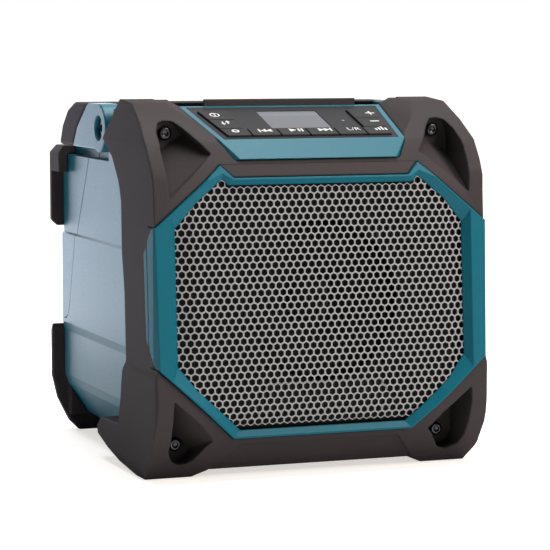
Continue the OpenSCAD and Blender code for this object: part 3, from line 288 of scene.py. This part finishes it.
def metal(name, base, roughness, grain, metallic=1.0):
    """Metal with a faint uneven finish."""
    tree, place = fresh_tree(name)
    fine, rough = uneven(tree, place, grain, 3.0, roughness, 0.05)
    relief = add(tree, "ShaderNodeBump", {}, {
        "Height": fine, "Strength": 0.08, "Distance": METAL_RELIEF * MM})
    shader = add(tree, "ShaderNodeBsdfPrincipled", {}, {
        "Base Color": base, "Metallic": metallic, "Roughness": rough,
        "Normal": relief.outputs["Normal"]})
    add(tree, "ShaderNodeOutputMaterial", {}, {"Surface": shader.outputs["BSDF"]})


def display_film(name, base):
    """Unlit liquid crystal display behind a clear window: a plain field, paler above a line near its
    top and brighter towards the top.
    """
    tree, place = fresh_tree(name)
    turned = add(tree, "ShaderNodeMapping", {"vector_type": "TEXTURE"}, {
        "Vector": place, "Location": PANEL_FOOT, "Rotation": (PANEL_TILT, 0, 0)})
    up = add(tree, "ShaderNodeSeparateXYZ", {}, {"Vector": turned.outputs["Vector"]}).outputs["Y"]
    line_low, line_high = PALER_TOP_LINE
    paler_top = add(tree, "ShaderNodeMapRange", {"interpolation_type": "SMOOTHSTEP"}, {
        "Value": up, "From Min": line_low * MM, "From Max": line_high * MM})
    fade_low, fade_high = DISPLAY_FADE
    fade = add(tree, "ShaderNodeMapRange", {}, {
        "Value": up, "From Min": fade_low * MM, "From Max": fade_high * MM,
        "To Min": 0.92, "To Max": 1.1})
    mix = add(tree, "ShaderNodeMix", {"data_type": "RGBA"}, {
        0: paler_top.outputs["Result"], 6: base, 7: times(base, 1.45)})
    shade = add(tree, "ShaderNodeVectorMath", {"operation": "SCALE"}, {
        0: mix.outputs[2], "Scale": fade.outputs["Result"]})
    shader = add(tree, "ShaderNodeBsdfPrincipled", {}, {
        "Base Color": shade.outputs[0], "Roughness": 0.22, "Coat Weight": 0.3,
        "Coat Roughness": 0.05})
    add(tree, "ShaderNodeOutputMaterial", {}, {"Surface": shader.outputs["BSDF"]})


def white_paper(name):
    """Paper sweep: the lamps draw the shadow on it, and it glows to the camera, so it stays white;
    its glow is weaker near the speaker, which lays a painted shade, a little warm, round it.
    """
    tree, place = fresh_tree(name)
    lit = add(tree, "ShaderNodeBsdfDiffuse", {}, {"Color": linear("#f1f1f1")})
    away = add(tree, "ShaderNodeVectorMath", {"operation": "LENGTH"}, {0: place})
    # The glow is weaker near the speaker: painted shade on the floor round it
    glow_with_painted_shade = add(tree, "ShaderNodeMapRange", {"interpolation_type": "SMOOTHSTEP"}, {
        "Value": away.outputs["Value"], "From Min": GLOW_NEAR, "From Max": GLOW_FAR,
        "To Min": 0.66, "To Max": 1.0})
    path = add(tree, "ShaderNodeLightPath", {}, {})
    strength = add(tree, "ShaderNodeMath", {"operation": "MULTIPLY"}, {
        0: path.outputs["Is Camera Ray"], 1: glow_with_painted_shade.outputs["Result"]})
    glow = add(tree, "ShaderNodeEmission", {}, {
        "Color": linear("#fffaf4"), "Strength": strength.outputs[0]})
    both = add(tree, "ShaderNodeAddShader", {}, {0: lit.outputs[0], 1: glow.outputs[0]})
    add(tree, "ShaderNodeOutputMaterial", {}, {"Surface": both.outputs[0]})


def make_finishes(tint):
    """All materials of the speaker, from the colours that a user chose."""
    # Spark-eroded satin of a moulded power tool housing
    moulded("Teal ABS", tint.housing, 0.38, 0.7, 0.15, edge=0.7)
    # The bezel comes from a duller tool, so it mirrors less of the room
    moulded("Teal ABS, matt tool", tint.housing, 0.42, 0.7, 0.2, edge=0.7, specular=0.0, coat=0.45)
    # Soft overmoulding: matt, with a slightly coarser grain that spreads the highlights
    moulded("Graphite elastomer", tint.bumper, 0.5, 0.6, 0.3, edge=1.6, specular=0.0, coat=0.26)
    # Pressed silicone rubber, dull but for a faint sheen
    moulded("Black key rubber", tint.key, 0.46, 0.5, 0.2, specular=0.0, coat=0.5)
    # Plain inner mouldings, which stay dark behind the grille
    moulded("Black ABS", linear("#0f0e10"), 0.55, 0.6, 0.2, specular=0.2)
    # Soft seals without any shine
    moulded("Black sealing rubber", linear("#121113"), 0.75, 0.8, 0.3, specular=0.2)
    # Screen print, opaque and matt
    moulded("Printed legend", tint.legend, 0.5, 0.4, 0.05, tone=0.01)
    # Grey glassy field of a display that is switched off
    display_film("Display film", tint.display)
    # Smooth lens of the status light, pale grey while it is unlit
    moulded("Clear lens", linear("#8d8f92"), 0.2, 2.0, 0.02, tone=0.02)
    # Lacquer of the circuit boards, with a soft gloss
    moulded("Green solder resist", linear("#2f5d3a"), 0.4, 1.0, 0.1)
    # Pressed paper of the cone, black, rough and fibrous
    moulded("Coated paper", linear("#151517"), 0.8, 0.9, 0.4, specular=0.2)
    # Silver paint on punched steel: an even sheen, duller than bare metal
    metal("Silver painted steel", tint.grille, 0.45, 0.8, metallic=0.3)
    # Bright plating of the rear screws
    metal("Zinc plated steel", linear("#d6d7d8"), 0.24, 0.9)
    # Dark plating of the guard screws, bright only where it mirrors a lamp; the same dark metal
    # stands as painted shade on the parts that sit in shade
    metal("Black nickel steel and painted shade", linear("#55555a"), 0.22, 0.9)
    # Sintered magnet with its pole plates, dark and dull
    metal("Ferrite and steel", linear("#4a4b4e"), 0.5, 1.2, metallic=0.6)


# Hand tools

def paint(obj, name):
    """Gives an object one material."""
    obj.data.materials.clear()
    obj.data.materials.append(bpy.data.materials[name])


def only(*objects):
    """Selects these objects and nothing else, the last one active."""
    bpy.ops.object.select_all(action="DESELECT")
    for obj in objects:
        obj.select_set(True)
        bpy.context.view_layer.objects.active = obj


def link(name, data):
    """New object in the scene for a mesh, a lamp or a camera."""
    obj = bpy.data.objects.new(name, data)
    bpy.context.collection.objects.link(obj)
    return obj


@contextlib.contextmanager
def editing():
    """Edit mode of the active object, with everything in it selected."""
    bpy.ops.object.mode_set(mode="EDIT")
    bpy.ops.mesh.select_all(action="SELECT")
    yield
    bpy.ops.object.mode_set(mode="OBJECT")


def shape(obj, kind, **settings):
    """Adds a modifier and applies it."""
    only(obj)
    modifier = obj.modifiers.new(kind.lower(), kind)
    for name, value in settings.items():
        setattr(modifier, name, value)
    bpy.ops.object.modifier_apply(modifier=modifier.name)


def smooth(obj, degrees):
    """Shades an object smooth, but for edges sharper than an angle."""
    only(obj)
    bpy.ops.object.shade_smooth_by_angle(angle=math.radians(degrees))


def choose(obj, test):
    """Selects, in edit mode, the corners whose place passes a test."""
    bpy.ops.mesh.select_all(action="DESELECT")
    mesh = bmesh.from_edit_mesh(obj.data)
    for corner in mesh.verts:
        corner.select_set(test(corner.co))
    mesh.select_flush(True)
    bmesh.update_edit_mesh(obj.data)


def block(low, high):
    """Block between two corners given in mm, with Y counted from the front."""
    low, high = Vector(low), Vector(high)
    middle = Vector((0, FRONT_Y, 0)) + (low + high) / 2 * MM
    only()
    bpy.ops.mesh.primitive_cube_add(size=1, location=middle)
    bpy.context.object.scale = [abs(side) * MM for side in high - low]
    bpy.ops.object.transform_apply(location=True, scale=True)
    return bpy.context.object


def merged_copy(node):
    """Copy of a solid whose loose triangles are joined and whose flat faces are made whole."""
    obj = link(node + "_finished", frame["nodes"][node].data.copy())
    only(obj)
    with editing():
        bpy.ops.mesh.remove_doubles(threshold=WELD * MM)
        bpy.ops.mesh.dissolve_limited(angle_limit=math.radians(FLAT_ANGLE))
    return obj


def new_piece(obj, body, material):
    """A piece of its own: the body that it rides on and a finish."""
    paint(obj, material)
    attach(obj, body)


def stand_for(obj, node, material):
    """The piece takes the place of a solid: its body and a finish."""
    new_piece(obj, BODY_OF[node], material)
    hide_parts(node)


def rounded(node, radius, segments=2):
    """Puts a copy with rounded edges in the place of a solid."""
    obj = merged_copy(node)
    shape(obj, "BEVEL", width=radius, segments=segments, limit_method="ANGLE",
          angle_limit=math.radians(SHARP_ANGLE), use_clamp_overlap=False,
          miter_outer="MITER_ARC", loop_slide=False)
    smooth(obj, SMOOTH_ANGLE)
    shape(obj, "WEIGHTED_NORMAL", keep_sharp=True, weight=NORMAL_WEIGHT)
    stand_for(obj, node, FINISH_OF[SLOT_OF[node]])


# Form of the front

def face_depth(z):
    """Depth of the front face behind its foremost line at a height, both in mm."""
    spans = list(zip(FACE, FACE[1:]))
    (z0, y0), (z1, y1) = next((span for span in spans if z < span[1][0]), spans[-1])
    return y0 + (y1 - y0) * (z - z0) / (z1 - z0)


def mirrored(half):
    """Whole ring from the right half of an outline."""
    return half + [Vector((-p.x, p.y)) for p in reversed(half)]


def drawn_in(bands):
    """Corners of the half outline of the bezel with each edge moved inwards by its own band."""
    (foot_x, foot_z), (head_x, head_z) = BEZEL[0], BEZEL[-1]
    chain = [Vector(p) for p in ((-foot_x, foot_z), *BEZEL, (-head_x, head_z))]
    lines = []
    for a, b, paler_top in zip(chain, chain[1:], bands):
        way = (b - a).normalized()
        lines.append((a + paler_top * Vector((-way.y, way.x)), way))
    return [p + u * ((q - p).cross(v) / u.cross(v))
            for (p, u), (q, v) in zip(lines, lines[1:])]


# Pieces

class SPEAKER_OT_solids(bpy.types.Operator):
    """Gives every solid of the frame its finish"""
    bl_idname = "speaker.solids"
    bl_label = "Finish the solids"

    def execute(self, context):
        make_finishes(context.scene.speaker_colours)
        for name, obj in frame["nodes"].items():
            # Parts that sit in shade take the dark metal as painted shade
            paint(obj, "Black nickel steel and painted shade" if name in DARK_AS_PAINTED_SHADE else FINISH_OF[SLOT_OF[name]])
        return {"FINISHED"}


class SPEAKER_OT_bumpers(bpy.types.Operator):
    """Rounds the soft corner bumpers"""
    bl_idname = "speaker.bumpers"
    bl_label = "Bumpers"

    def execute(self, context):
        edge = context.scene.speaker_sizes.bumper_edge
        rounded("front_bumper", edge)
        rounded("rear_bumper", edge)
        return {"FINISHED"}


class SPEAKER_OT_bezel(bpy.types.Operator):
    """Opens the bezel to a thin ridge with one broad slope, and fills its corners with the bumper"""
    bl_idname = "speaker.bezel"
    bl_label = "Bezel"

    def loop(self, depth):
        """Corners of the line round the opening at a depth behind the face."""
        half = drawn_in([a + (b - a) * depth / MOUTH_DEPTH for a, b in zip(RIDGE, MOUTH)])
        low, high = half[:2]
        half[1:1] = [low.lerp(high, (z - low.y) / (high.y - low.y)) for z in (LOW_BEND_Z, BEND_Z)]
        return [Vector((p.x * MM, FRONT_Y + (face_depth(p.y) + depth) * MM, p.y * MM))
                for p in mirrored(half)]

    def slope_cutter(self):
        """Body of the opening, from a little ahead of the ridge to behind the grille."""
        front, back = [self.loop(depth) for depth in CUT_DEPTHS]
        only()
        bpy.ops.mesh.primitive_circle_add(vertices=len(front), fill_type="NGON")
        obj = bpy.context.object
        with editing():
            bpy.ops.mesh.extrude_region_move()
        for corner, place in zip(obj.data.vertices, front + back):
            corner.co = place
        # The caps become cones that point away from the bent face, so they stay clear of it
        with editing():
            bpy.ops.mesh.select_mode(type="FACE")
            bpy.ops.mesh.select_all(action="DESELECT")
            bpy.ops.mesh.select_face_by_sides(number=len(front), type="EQUAL")
            bpy.ops.mesh.poke()
            bpy.ops.mesh.select_mode(type="VERT")
        tips = sorted(obj.data.vertices[-2:], key=lambda corner: corner.co.y)
        for tip, depth in zip(tips, TIP_DEPTHS):
            tip.co = (0, FRONT_Y + depth * MM, TIP_Z * MM)
        with editing():
            bpy.ops.mesh.quads_convert_to_tris(quad_method="FIXED", ngon_method="CLIP")
            bpy.ops.mesh.normals_make_consistent(inside=False)
        return obj

    def corner_zone(self):
        """Wedges behind the slanting ends of the side skirts, where the bumper comes forward."""
        wedges = []
        inner_x, outer_x = WEDGE_X
        for side in (-1, 1):
            for y, z, rise, run in SKIRT_ENDS:
                far_z = z + math.copysign(WEDGE_HEIGHT, rise)
                wedges.append(block((side * inner_x, y, z), (side * outer_x, y + WEDGE_DEPTH, far_z)))
                with editing():
                    bpy.ops.mesh.bisect(
                        plane_co=(0, FRONT_Y + y * MM, z * MM), use_fill=True, clear_outer=True,
                        plane_no=(0, -abs(rise), math.copysign(run, rise)))
        only(*wedges)
        bpy.ops.object.join()
        return bpy.context.object

    def execute(self, context):
        bezel = merged_copy("bezel")
        cutter, zone = self.slope_cutter(), self.corner_zone()
        shape(bezel, "BOOLEAN", object=cutter, operation="DIFFERENCE", solver="MANIFOLD")
        fill = link("bezel_corner_fill", bezel.data.copy())
        shape(bezel, "BOOLEAN", object=zone, operation="DIFFERENCE", solver="MANIFOLD")
        shape(fill, "BOOLEAN", object=zone, operation="INTERSECT", solver="MANIFOLD")
        for tool in (cutter, zone):
            bpy.data.objects.remove(tool)
        stand_for(bezel, "bezel", "Teal ABS, matt tool")
        new_piece(fill, "housing", "Graphite elastomer")
        return {"FINISHED"}


class SPEAKER_OT_handle(bpy.types.Operator):
    """Rounds the handle arms and their soft grip"""
    bl_idname = "speaker.handle"
    bl_label = "Handle"

    def execute(self, context):
        size = context.scene.speaker_sizes
        rounded("handle_frame", size.housing_edge * ARM_EDGE, 3)
        rounded("handle_grip", size.grip_edge, 3)
        return {"FINISHED"}


class SPEAKER_OT_rear_door(bpy.types.Operator):
    """Eases the edges of the door latch and the port cover"""
    bl_idname = "speaker.rear_door"
    bl_label = "Rear door"

    def execute(self, context):
        edge = context.scene.speaker_sizes.housing_edge * TRIM_EDGE
        rounded("door_latch", edge)
        rounded("port_cover", edge)
        return {"FINISHED"}


class SPEAKER_OT_shade_strips(bpy.types.Operator):
    """Lays a dark strip behind the upper end of each parting line, where the housing shows only
    shade, so no light shows through it: painted shade
    """
    bl_idname = "speaker.seals"
    bl_label = "Parting shade strips"

    def execute(self, context):
        low, high = zip(SHADE_STRIP_X, SHADE_STRIP_Y, SHADE_STRIP_Z)
        for name, side in (("left", -1), ("right", 1)):
            shade_strip = block((side * low[0], *low[1:]), (side * high[0], *high[1:]))
            shade_strip.name = "parting_shade_strip_" + name
            shape(shade_strip, "BEVEL", width=SHADE_STRIP_EDGE * MM, segments=3, limit_method="NONE")
            smooth(shade_strip, SMOOTH_ANGLE)
            # Black rubber strip put in the gap as painted shade
            new_piece(shade_strip, "housing", "Black sealing rubber")
        return {"FINISHED"}


class SPEAKER_OT_grille(bpy.types.Operator):
    """Perforates the grille sheet with its full lattice and bends it to the front"""
    bl_idname = "speaker.grille"
    bl_label = "Grille"

    def cell(self, pitch, web):
        """One six-sided cell of sheet with a hole whose corners are drawn in."""
        only()
        bpy.ops.mesh.primitive_circle_add(vertices=6, radius=pitch / math.sqrt(3),
                                          fill_type="NGON", rotation=(math.pi / 2, 0, 0))
        obj = bpy.context.object
        bpy.ops.object.transform_apply(rotation=True)
        hole = pitch / 2 - web / 2
        near, far = [ratio * hole for ratio in CORNER_BAND]
        with editing():
            bpy.ops.mesh.subdivide(number_cuts=1)
            bpy.ops.mesh.select_all(action="SELECT")
            bpy.ops.mesh.inset(thickness=web / 2, use_boundary=True)
            choose(obj, lambda place: near < place.length < far)
            bpy.ops.transform.resize(value=(CORNER_DRAW, CORNER_DRAW, CORNER_DRAW))
            choose(obj, lambda place: place.length < hole * HOLE_REACH)
            bpy.ops.mesh.delete(type="ONLY_FACE")
        return obj

    def runs(self, pitch):
        """Each unbroken run of holes: its height, its first place in pitches and its count."""
        outline = mirrored([Vector(p) * MM for p in OPENING])
        sides = list(zip(outline, outline[1:] + outline[:1]))
        step = pitch * math.sqrt(3) / 2
        for row in ROWS:
            z, shift = FIRST_ROW_Z * MM - row * step, (row % 2) / 2
            crossings = sorted(a.x + (b.x - a.x) * (z - a.y) / (b.y - a.y)
                               for a, b in sides if (a.y > z) != (b.y > z))
            for left, right in zip(crossings[::2], crossings[1::2]):
                first = math.ceil(left / pitch - shift)
                last = math.floor(right / pitch - shift)
                if first <= last:
                    yield z, first + shift, last - first + 1

    def lattice(self, size, depth):
        """Flat sheet of all cells, as one mesh."""
        pitch = size.hole_pitch
        cell = self.cell(pitch, size.hole_web)
        rows = []
        for z, start, count in self.runs(pitch):
            row = link("row", cell.data.copy())
            row.location = (start * pitch, depth, z)
            run = row.modifiers.new("run", "ARRAY")
            run.count, run.use_relative_offset, run.use_constant_offset = count, False, True
            run.constant_offset_displace = (pitch, 0, 0)
            rows.append(row)
        bpy.data.objects.remove(cell)
        only(*rows)
        bpy.ops.object.convert(target="MESH")
        bpy.ops.object.join()
        bpy.ops.object.transform_apply(location=True)
        return bpy.context.object

    def turn(self, obj, test, axis, degrees, centre):
        """Bends the corners that pass a test about a line through a centre."""
        choose(obj, test)
        bpy.ops.transform.rotate(value=-math.radians(degrees), orient_axis=axis,
                                 orient_type="GLOBAL", center_override=centre)

    def in_sunk_field(self, place):
        """Whether a place lies in the sunk field, which narrows upwards."""
        (low_half, low_z), (high_half, high_z) = SUNK_LOW, SUNK_HIGH
        share = (place.z / MM - low_z) / (high_z - low_z)
        return 0 < share < 1 and abs(place.x) / MM < low_half + (high_half - low_half) * share

    def execute(self, context):
        size = context.scene.speaker_sizes
        depth = FRONT_Y + size.sheet_depth
        low_bend, bend, wing = LOW_BEND_Z * MM, BEND_Z * MM, WING_X * MM
        sheet = self.lattice(size, depth)
        sheet.name = "grille_sheet"
        with editing():
            bpy.ops.mesh.remove_doubles(threshold=SHEET_WELD * MM)
            choose(sheet, self.in_sunk_field)
            bpy.ops.transform.translate(value=(0, SUNK_DEPTH * MM, 0))
            self.turn(sheet, lambda p: p.z < low_bend, "X", LOW_BEND, (0, depth, low_bend))
            self.turn(sheet, lambda p: p.z < bend, "X", MIDDLE_BEND, (0, depth, bend))
            self.turn(sheet, lambda p: p.z > bend, "X", HIGH_BEND, (0, depth, bend))
            for side in (-1, 1):
                self.turn(sheet, lambda p: p.x * side > wing, "Z", WING_BEND * side,
                          (side * wing, depth + WING_DEPTH * MM, 0))
        shape(sheet, "SOLIDIFY", thickness=size.sheet_gauge, offset=-1)
        stand_for(sheet, "grille", "Silver painted steel")
        return {"FINISHED"}


class SPEAKER_OT_keys(bpy.types.Operator):
    """Eases the edges of the keys"""
    bl_idname = "speaker.keys"
    bl_label = "Keys"

    def execute(self, context):
        edge = context.scene.speaker_sizes.key_edge
        for node in sorted(frame["nodes"]):
            if node.startswith("key_") and node != "key_plate":
                rounded(node, edge)
        return {"FINISHED"}


class SPEAKER_OT_signs(bpy.types.Operator):
    """Prints plain signs on the keys"""
    bl_idname = "speaker.signs"
    bl_label = "Key signs"

    # Every mark is placed across the panel, from its middle, and up its slope

    def bar(self, x, up, width, height):
        """Upright or level stroke."""
        bpy.ops.mesh.primitive_plane_add(size=1, location=(x * MM, up * MM, 0))
        bpy.context.object.scale = (width * MM, height * MM, 1)
        return bpy.context.object

    def wedge(self, x, up, width, height, turn=0):
        """Three-sided arrow head that points along X before it is turned."""
        bpy.ops.mesh.primitive_circle_add(vertices=3, radius=1, fill_type="NGON")
        obj = bpy.context.object
        for corner, place in zip(obj.data.vertices, ((0.5, 0), (-0.5, 0.5), (-0.5, -0.5))):
            corner.co = (place[0] * width * MM, place[1] * height * MM, 0)
        obj.location, obj.rotation_euler = (x * MM, up * MM, 0), (0, 0, math.radians(turn))
        return obj

    def ring(self, x, up, radius, stroke):
        """Round ring."""
        bpy.ops.mesh.primitive_circle_add(vertices=32, radius=radius * MM, fill_type="NGON",
                                          location=(x * MM, up * MM, 0))
        with editing():
            bpy.ops.mesh.inset(thickness=stroke * MM)
            bpy.ops.mesh.delete(type="FACE")
        return bpy.context.object

    def letters(self, x, up, words, height):
        """Plain letters."""
        bpy.ops.object.text_add(location=(x * MM, up * MM, 0))
        obj = bpy.context.object
        obj.data.body, obj.data.size = words, height * MM * FONT_SIZE
        obj.data.align_x, obj.data.align_y = "CENTER", "CENTER"
        bpy.ops.object.convert(target="MESH")
        return bpy.context.object

    def execute(self, context):
        only()
        bar, wedge, ring = self.bar, self.wedge, self.ring
        signs = {
            "power": (ring(-45.6, 34.8, 2.9, 0.75), bar(-45.6, 34.8, 0.8, 3.2)),
            "link": (bar(-45, 22.2, 0.8, 3), wedge(-45, 20, 2.2, 3, -90),
                     bar(-42, 21.8, 0.8, 3), wedge(-42, 24, 2.2, 3, 90)),
            "source": (ring(-42.1, 9, 2.2, 1.0),),
            "previous": (bar(-28.2, 9, 0.9, 4.4), wedge(-25.9, 9, 3.4, 4.4, 180),
                         wedge(-22.6, 9, 3.4, 4.4, 180)),
            "play": (wedge(-8.4, 9.3, 4, 4.6), bar(-4.9, 9.3, 1, 4.4), bar(-3, 9.3, 1, 4.4)),
            "next": (wedge(8.5, 9.3, 3.4, 4.4), wedge(11.8, 9.3, 3.4, 4.4),
                     bar(14.1, 9.3, 0.9, 4.4)),
            "channel": (self.letters(28, 9.6, "L/R", 4.2),),
            "louder": (bar(48.1, 35.2, 5.4, 1.1), bar(48.1, 35.2, 1.1, 5.4)),
            "softer": (bar(45.8, 22, 5.4, 1.2),),
            "mode": (bar(41.4, 8.8, 1.1, 2.4), bar(43.4, 9.5, 1.1, 3.8),
                     bar(45.4, 10.2, 1.1, 5.2), bar(47.4, 9.2, 1.1, 3.2)),
        }
        for name, parts in signs.items():
            only(*parts)
            bpy.ops.object.transform_apply(location=True, rotation=True, scale=True)
            if len(parts) > 1:
                bpy.ops.object.join()
            sign = bpy.context.object
            sign.name = "sign_" + name
            shape(sign, "SOLIDIFY", thickness=PRINT_GAUGE * MM, offset=1)
            sign.matrix_world = ON_PANEL @ Matrix.Translation((0, 0, PRINT_HEIGHT * MM))
            only(sign)
            bpy.ops.object.transform_apply(location=True, rotation=True, scale=True)
            new_piece(sign, "button_" + name, "Printed legend")
        return {"FINISHED"}


class SPEAKER_OT_screws(bpy.types.Operator):
    """Eases the edges of the guard screws and the rear screws and plates them"""
    bl_idname = "speaker.screws"
    bl_label = "Screws"

    def execute(self, context):
        for node, material in (("bumper_screws", "Black nickel steel and painted shade"),
                               ("rear_screws", "Zinc plated steel")):
            screws = merged_copy(node)
            shape(screws, "BEVEL", width=SCREW_EDGE * MM, segments=2, limit_method="ANGLE",
                  angle_limit=math.radians(SCREW_SHARP), use_clamp_overlap=False)
            smooth(screws, SCREW_SMOOTH)
            stand_for(screws, node, material)
        return {"FINISHED"}


class SPEAKER_OT_stage(bpy.types.Operator):
    """Sets the floor, the white surround, the lamps and the camera"""
    bl_idname = "speaker.stage"
    bl_label = "Set the stage"

    def floor(self):
        """Lays the paper under the speaker."""
        only()
        bpy.ops.mesh.primitive_plane_add(size=FLOOR_SIDE)
        floor = bpy.context.object
        floor.name = "floor"
        white_paper("White paper")
        paint(floor, "White paper")

    def surround(self, scene):
        """White behind the speaker and to its right; the room in front and to the left is dim."""
        scene.world = bpy.data.worlds.new("White surround")
        scene.world.use_nodes = True
        tree = scene.world.node_tree
        tree.nodes.clear()
        way = add(tree, "ShaderNodeTexCoord", {}, {}).outputs["Generated"]
        split = add(tree, "ShaderNodeSeparateXYZ", {}, {"Vector": way})
        back = add(tree, "ShaderNodeMapRange", {"interpolation_type": "SMOOTHSTEP"}, {
            "Value": split.outputs["Y"], "From Min": -0.5, "From Max": 0.6,
            "To Min": 0.15, "To Max": 1.0})
        right = add(tree, "ShaderNodeMapRange", {"interpolation_type": "SMOOTHSTEP"}, {
            "Value": split.outputs["X"], "From Min": -0.35, "From Max": 0.05,
            "To Min": 0.2, "To Max": 1.0})
        sweep = add(tree, "ShaderNodeMath", {"operation": "MULTIPLY"}, {
            0: back.outputs["Result"], 1: right.outputs["Result"]})
        # Matt surfaces get half of it, and the camera sees plain white
        path = add(tree, "ShaderNodeLightPath", {}, {})
        share = add(tree, "ShaderNodeMapRange", {}, {
            "Value": path.outputs["Is Diffuse Ray"], "To Min": 1.0, "To Max": 0.5})
        lit = add(tree, "ShaderNodeMath", {"operation": "MULTIPLY"}, {
            0: sweep.outputs[0], 1: share.outputs["Result"]})
        strength = add(tree, "ShaderNodeMath", {"operation": "MAXIMUM"}, {
            0: lit.outputs[0], 1: path.outputs["Is Camera Ray"]})
        sky = add(tree, "ShaderNodeBackground", {}, {
            "Color": (1, 1, 1, 1), "Strength": strength.outputs[0]})
        add(tree, "ShaderNodeOutputWorld", {}, {"Surface": sky.outputs[0]})

    def lamps(self):
        """Hangs the lamps, which the camera doesn't see."""
        for name, (place, aim, sides, power, tint) in LAMPS.items():
            lamp = bpy.data.lights.new(name, "AREA")
            lamp.shape, lamp.energy, lamp.color = "RECTANGLE", power, linear(tint)[:3]
            lamp.size, lamp.size_y = sides
            obj = link(name, lamp)
            obj.location, obj.visible_camera = place, False
            way = Vector(aim) - Vector(place)
            obj.rotation_euler = way.to_track_quat("-Z", "Y").to_euler()

    def camera(self, scene):
        """Sets the camera of the photograph."""
        stage = scene.speaker_stage
        camera = bpy.data.cameras.new("photo_camera")
        camera.lens, camera.sensor_width = stage.camera_lens, SENSOR_WIDTH
        camera.clip_start, camera.clip_end = 0.05, 40
        obj = link("photo_camera", camera)
        obj.location = stage.camera_place
        obj.rotation_euler = (math.pi / 2 - stage.camera_tilt, 0, -stage.camera_turn)
        scene.camera = obj

    def execute(self, context):
        self.floor()
        self.surround(context.scene)
        self.lamps()
        self.camera(context.scene)
        context.scene.view_settings.view_transform = "Standard"
        return {"FINISHED"}


class SPEAKER_PT_panel(bpy.types.Panel):
    """Steps that dress the speaker"""
    bl_label = "Jobsite Speaker"
    bl_space_type = "VIEW_3D"
    bl_region_type = "UI"
    bl_category = "Speaker"

    def draw(self, context):
        for group in GROUPS:
            values = getattr(context.scene, group)
            for name in values.bl_rna.properties.keys():
                if name not in {"rna_type", "name"}:
                    self.layout.prop(values, name)
        for step in STEPS:
            self.layout.operator(step.bl_idname)


STEPS = (SPEAKER_OT_solids, SPEAKER_OT_bumpers, SPEAKER_OT_bezel, SPEAKER_OT_handle,
         SPEAKER_OT_rear_door, SPEAKER_OT_shade_strips, SPEAKER_OT_grille, SPEAKER_OT_keys,
         SPEAKER_OT_signs, SPEAKER_OT_screws, SPEAKER_OT_stage)
GROUPS = {"speaker_sizes": SpeakerSizes, "speaker_colours": SpeakerColours,
          "speaker_stage": SpeakerStage}
CLASSES = (*GROUPS.values(), *STEPS, SPEAKER_PT_panel)


def register():
    for kind in CLASSES:
        bpy.utils.register_class(kind)
    for name, kind in GROUPS.items():
        setattr(bpy.types.Scene, name, bpy.props.PointerProperty(type=kind))


def unregister():
    for name in GROUPS:
        delattr(bpy.types.Scene, name)
    for kind in reversed(CLASSES):
        bpy.utils.unregister_class(kind)


def main():
    register()
    for step in STEPS:
        group, name = step.bl_idname.split(".")
        getattr(getattr(bpy.ops, group), name)()


if __name__ == "__main__":
    main()
